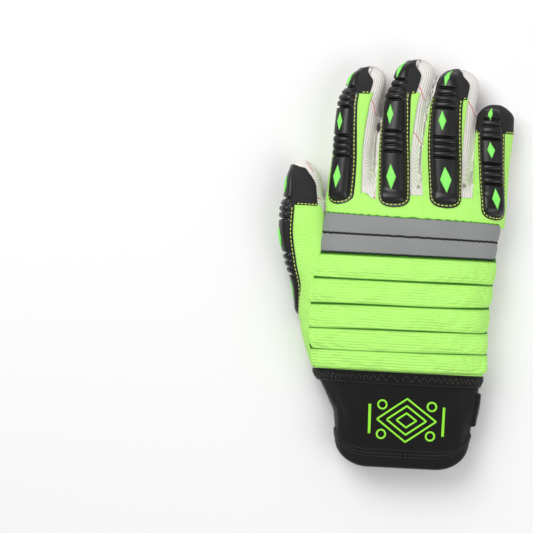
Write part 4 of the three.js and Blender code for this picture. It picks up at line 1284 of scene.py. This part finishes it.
# %% Stitches
def stitches(path, radius=0.32, length=1.8, pitch=2.5, sink=0.35, sides=6):
    """Capsules along a dense path of points, pitch mm apart, sunk into the cloth by a share of radius."""
    step = np.linalg.norm(np.diff(path, axis=0), axis=1)
    run = np.concatenate([[0], step.cumsum()])
    middles = np.arange(pitch / 2, run[-1] - pitch / 4, pitch)

    def at(distance):
        return np.stack([np.interp(distance, run, path[:, k]) for k in range(3)], -1)

    head, tail = at(middles - length / 2), at(middles + length / 2)
    ahead = tail - head
    ahead /= np.maximum(np.linalg.norm(ahead, axis=1, keepdims=True), 1e-6)
    side = np.cross(ahead, np.array([0, 0, 1.0]))
    side /= np.maximum(np.linalg.norm(side, axis=1, keepdims=True), 1e-6)
    up = np.cross(side, ahead)
    profile = np.array([[0.0, 0.35], [0.08, 0.75], [0.25, 1.0], [0.75, 1.0], [0.92, 0.75], [1.0, 0.35]])
    angle = np.linspace(0, 2 * math.pi, sides, endpoint=False)
    ring = np.cos(angle)[:, None] * side[:, None, None, :].swapaxes(1, 2) + 0
    arch = np.sin(profile[:, 0] * math.pi) * radius * 0.6
    centre = head[:, None] + (tail - head)[:, None] * profile[None, :, :1] + up[:, None] * (arch - sink * radius)[None, :, None]
    spoke = np.cos(angle)[None, :, None] * side[:, None] + np.sin(angle)[None, :, None] * up[:, None]
    points = centre[:, :, None] + spoke[:, None] * (profile[None, :, 1] * radius)[..., None, None]
    return [skin(one) for one in points]


def sew(name, paths, thread, slot, **how):
    shapes = [one for path in paths for one in stitches(path, **how)]
    return make(name, join(shapes), thread)


# %% Seams of the guards and the caps
def flange_paths(name):
    """Half a flange's width inside the outline: down one side, round the lower end and up again."""
    low = place(name, "low")
    inset = 0.5 * GUARD_FLANGE * guard_sizes[name]
    y = np.linspace(place(name, "cap") + 0.8, low + inset + 0.02, 500)
    share = np.clip((y - low - inset) / (7.0 - inset), 0, 1)
    half = (guard_half(name, np.maximum(y, low + 7.0)) - inset) * np.sqrt(1 - (1 - share) ** 2.4)
    lift = SEAT + FLANGE_THICKNESS + 0.05
    left, right = (over_digit(name, y, side * half, lift) for side in (1, -1))
    return [np.concatenate([left, right[::-1]])]


def cap_paths(name):
    _, _, _, a, b, _, _ = turns[name]
    turn = np.linspace(a + 4.0, b - 4.0, 260)
    y = place(name, "cap") + 1.1
    clear = np.abs(turn - guard_turn(name, np.array(y)))
    x, z, w, h = digit_station(name, np.array(y))
    guard = np.degrees(guard_half(name, np.array(y)) / ((w + h) / 2))
    path = digit_point(name, np.full_like(turn, y), turn, 1.15)
    return [path[turn < guard_turn(name, np.array(y)) - guard], path[turn > guard_turn(name, np.array(y)) + guard]]


for name in DIGITS:
    sew(f"flange_stitches_{name}", flange_paths(name), YELLOW_THREAD, "guard_rubber")
    ends = [path for path in cap_paths(name) if len(path) > 8]
    sew(f"cap_stitches_{name}", ends, YELLOW_THREAD, "cap_leather", pitch=2.2, length=1.5)


# %% Threads of the reflective strip and the cuff
def back_line(number, share_of_edge, offset, lift, wave=0.0, count=600):
    """A line across the back, offset mm from the lower edge of a piece."""
    t = np.linspace(0.01, 0.99, count)
    low = back_edges[number]
    y = spread(low[0], low[1], t) * HAND_LENGTH + offset + wave * np.sin(t * 190)
    turn = spread(seam_turn(y), -98.0, t)
    return hand_point(y, turn, lift)


sew("strip_seam", [back_line(6, 0, 0.0, 1.25, 0.4)], BLACK_THREAD, "reflective",
    radius=0.72, length=2.4, pitch=1.9)
# The dark green thread along the upper tape's top edge is partly the ragged edge of the green cloth and partly painted
# shade where that cloth overlaps the tape.
sew("strip_edge", [back_line(7, 0, -0.1, 1.2, 0.35)],
    GREEN_THREAD, "hi_vis_fabric", radius=0.34, length=1.9, pitch=1.7)
# Painted shadow: a line of black stitches along the lower tape's lower edge stands for the shadow that the tape casts
# on the pad below.
sew("strip_shadow", [back_line(5, 0, -0.2, 1.4, 0.25)], BLACK_THREAD, "reflective", radius=0.45, length=2.2, pitch=2.3)


def zigzag(at_low, at_high, lift, teeth, turn_from=0.0, turn_to=360.0):
    t = np.linspace(0, 1, teeth * 12)
    tooth = np.abs(((t * teeth) % 1) * 2 - 1)
    return cuff_point(spread(at_low, at_high, tooth), spread(turn_from, turn_to, t), lift)


sew("binding_stitches", [zigzag(1.4 / CUFF_LENGTH, 6.0 / CUFF_LENGTH, 1.42, 74)], CUFF_THREAD, "neoprene",
    radius=0.34, length=2.1, pitch=2.5)
ring_turns = np.linspace(0, 360, 900)
hem_at = 1 - (HEM_WIDTH - 2.6) / CUFF_LENGTH
sew("hem_stitches", [cuff_point(np.full(900, hem_at + d), ring_turns, 0.55) for d in (0.0, 0.035)],
    CUFF_THREAD, "neoprene", radius=0.3, length=1.8, pitch=2.4)

# %% [markdown]
# The cotton also has single red threads that run askew over the finger sides. Each is a thin tube
# through two or three points of the picture plane, dropped onto the cotton from above.

# %% Loose red threads
red_lines = (  # x, y in mm of each thread's points
    ((-27.3, 167.4), (-24.0, 161.5), (-21.8, 155.4)), ((0.7, 176.8), (4.3, 172.1), (6.7, 166.1)),
    ((-2.4, 149.1), (3.0, 144.5), (6.6, 139.2)), ((10.9, 139.4), (7.2, 135.5)),
    ((32.7, 167.5), (36.2, 162.5), (38.7, 157.7)), ((-63.0, 125.1), (-59.0, 119.2)),
    ((-57.0, 104.0), (-53.5, 103.0)),
)


def dropped(x, y, below=False):
    """Points on the cotton over or under (x, y), met by rays from above or from below."""
    found = []
    side = -1 if below else 1
    for px, py in zip(x, y):
        start = Vector(((px + SHIFT[0]) / 1000, (py + SHIFT[1]) / 1000, 0.1 * side))
        hit, where, _, _ = cotton_body.ray_cast(start, Vector((0, 0, -side)))
        if hit:
            found.append(np.array(where) * 1000 - SHIFT)
    return np.array(found)


def cord(path, radius, sides=8):
    """A tube of constant radius along a path."""
    ahead = np.gradient(path, axis=0)
    ahead /= np.linalg.norm(ahead, axis=1, keepdims=True)
    side = np.cross(ahead, np.array([0.0, 0.0, 1.0]))
    side /= np.linalg.norm(side, axis=1, keepdims=True)
    up = np.cross(side, ahead)
    angle = np.linspace(0, 2 * math.pi, sides, endpoint=False)[None, :, None]
    return skin(path[:, None] + radius * (np.cos(angle) * side[:, None] + np.sin(angle) * up[:, None]))


threads = []
for line in red_lines:
    knots = np.array(line)
    t = np.linspace(0, len(knots) - 1, 26)
    x = np.interp(t, np.arange(len(knots)), knots[:, 0])
    y = np.interp(t, np.arange(len(knots)), knots[:, 1])
    path = dropped(x + 0.25 * np.sin(3.0 * t), y)
    if len(path) > 5:
        threads.append(cord(path + np.array([0, 0, 0.12]), 0.22))
make("loose_red_threads", join(threads), RED_THREAD)

# %% Seams of the palm
around = np.linspace(0, 2 * math.pi, 160)
palm_seams = [dropped(x + 5.5 * np.cos(around), 105.0 + 11.0 * np.sin(around), True) for x in (-21.1, 6.5, 34.7)]
seam_y = np.linspace(40.0, 97.0, 160)
palm_seams.append(dropped(-50.0 - 13.0 * ((98.0 - seam_y) / 58.0) ** 1.3, seam_y, True))
sew("palm_stitches", [path for path in palm_seams if len(path) > 8], CREAM_THREAD, "cotton", radius=0.28, sink=0.0)

# %% [markdown]
# The cuff's top gets a plain printed pattern: nested rhombs between two bars and four rings, as
# thin raised ink in the green of the hand's back.

# %% Pattern on the cuff
def on_cuff(x, at, lift):
    """A point on the cuff's upper side over x."""
    cx, w, _, _, _ = cuff_station(at)
    across = np.clip((cx - x) / w, -1, 1)
    turn = np.degrees(np.arcsin(np.sign(across) * np.abs(across) ** (HAND_ROUND / 2)))
    return cuff_point(at, turn, lift + cuff_dent(at, turn))


def ink(knots, width=1.1, closed=True):
    """A flat ribbon along a polyline given as (x, mm below the seam)."""
    knots = np.array(knots + knots[:1] if closed else knots, float)
    t = np.linspace(0, len(knots) - 1, 24 * (len(knots) - 1) + 1)
    line = np.stack([np.interp(t, np.arange(len(knots)), knots[:, k]) for k in (0, 1)], -1)
    ahead = np.gradient(line, axis=0)
    ahead /= np.linalg.norm(ahead, axis=1, keepdims=True)
    side = np.stack([-ahead[:, 1], ahead[:, 0]], -1)
    v = np.linspace(-0.5, 0.5, 4)[None, :, None] * width
    flat = line[:, None] + v * side[:, None]
    x, at = flat[..., 0], flat[..., 1] / CUFF_LENGTH
    return closed_sheet(on_cuff(x, at, 0.06), on_cuff(x, at, -0.25))


def rhomb(x, down, wide, high):
    return [(x - wide, down), (x, down - high), (x + wide, down), (x, down + high)]


def ring_of(x, down, radius):
    return [(x + radius * math.cos(a), down + radius * math.sin(a)) for a in np.linspace(0, 2 * math.pi, 25)[:-1]]


middle_x, middle_down = 5.5, 29.0
shapes = [ink(rhomb(middle_x, middle_down, 6.0 * k, 4.4 * k)) for k in (1.0, 2.0, 3.0)]
shapes += [ink(ring_of(middle_x + sx * 15.0, middle_down + sy * 9.0, 2.6)) for sx in (-1, 1) for sy in (-1, 1)]
shapes += [ink([(middle_x + sx * 22.5, middle_down - 9.0), (middle_x + sx * 22.5, middle_down + 9.0)], 1.6, False)
           for sx in (-1, 1)]
make("cuff_pattern", join(shapes), INK)

# %% [markdown]
# ## Studio
# The glove lies on a pale floor under broad soft lights, and the camera looks straight down on it.

# %% Floor, light and camera
def metres(x, y, z):
    return ((x + SHIFT[0]) / 1000, (y + SHIFT[1]) / 1000, z / 1000)


floor_paint = Finish("floor_paint", Roughness=0.9, Specular_IOR_Level=0.1)
bpy.ops.mesh.primitive_plane_add(size=3.0, location=(0, 0, -0.0002))
floor = bpy.context.object
floor.name = "floor"
floor.data.materials.append(floor_paint.finish(paint(247, 247, 247)))

world = bpy.data.worlds.new("studio")
bpy.context.scene.world = world
world.use_nodes = True
world.node_tree.nodes["Background"].inputs["Color"].default_value = (1.0, 1.0, 1.0, 1.0)
world.node_tree.nodes["Background"].inputs["Strength"].default_value = 0.5

for name, where, power, size in (
    ("key_light", (-0.45, 0.55, 0.9), 7.5, 0.8),
    ("fill_light", (0.6, -0.35, 0.8), 3.0, 0.8),
):
    lamp = bpy.data.lights.new(name, "AREA")
    lamp.energy, lamp.size = power, size
    holder = bpy.data.objects.new(name, lamp)
    holder.location = where
    bpy.context.scene.collection.objects.link(holder)
    holder.rotation_euler = (-Vector(where)).to_track_quat("-Z", "Y").to_euler()

camera_data = bpy.data.cameras.new("camera")
camera = bpy.data.objects.new("camera", camera_data)
bpy.context.scene.collection.objects.link(camera)
distance = 2.4
camera_data.sensor_width = 36.0
camera_data.lens = 36.0 * distance / 0.3257
camera.location = (-0.0757, -0.0074, distance + 0.015)
camera.rotation_euler = (0, 0, math.radians(3.0))
bpy.context.scene.camera = camera
bpy.context.scene.view_settings.view_transform = "Standard"
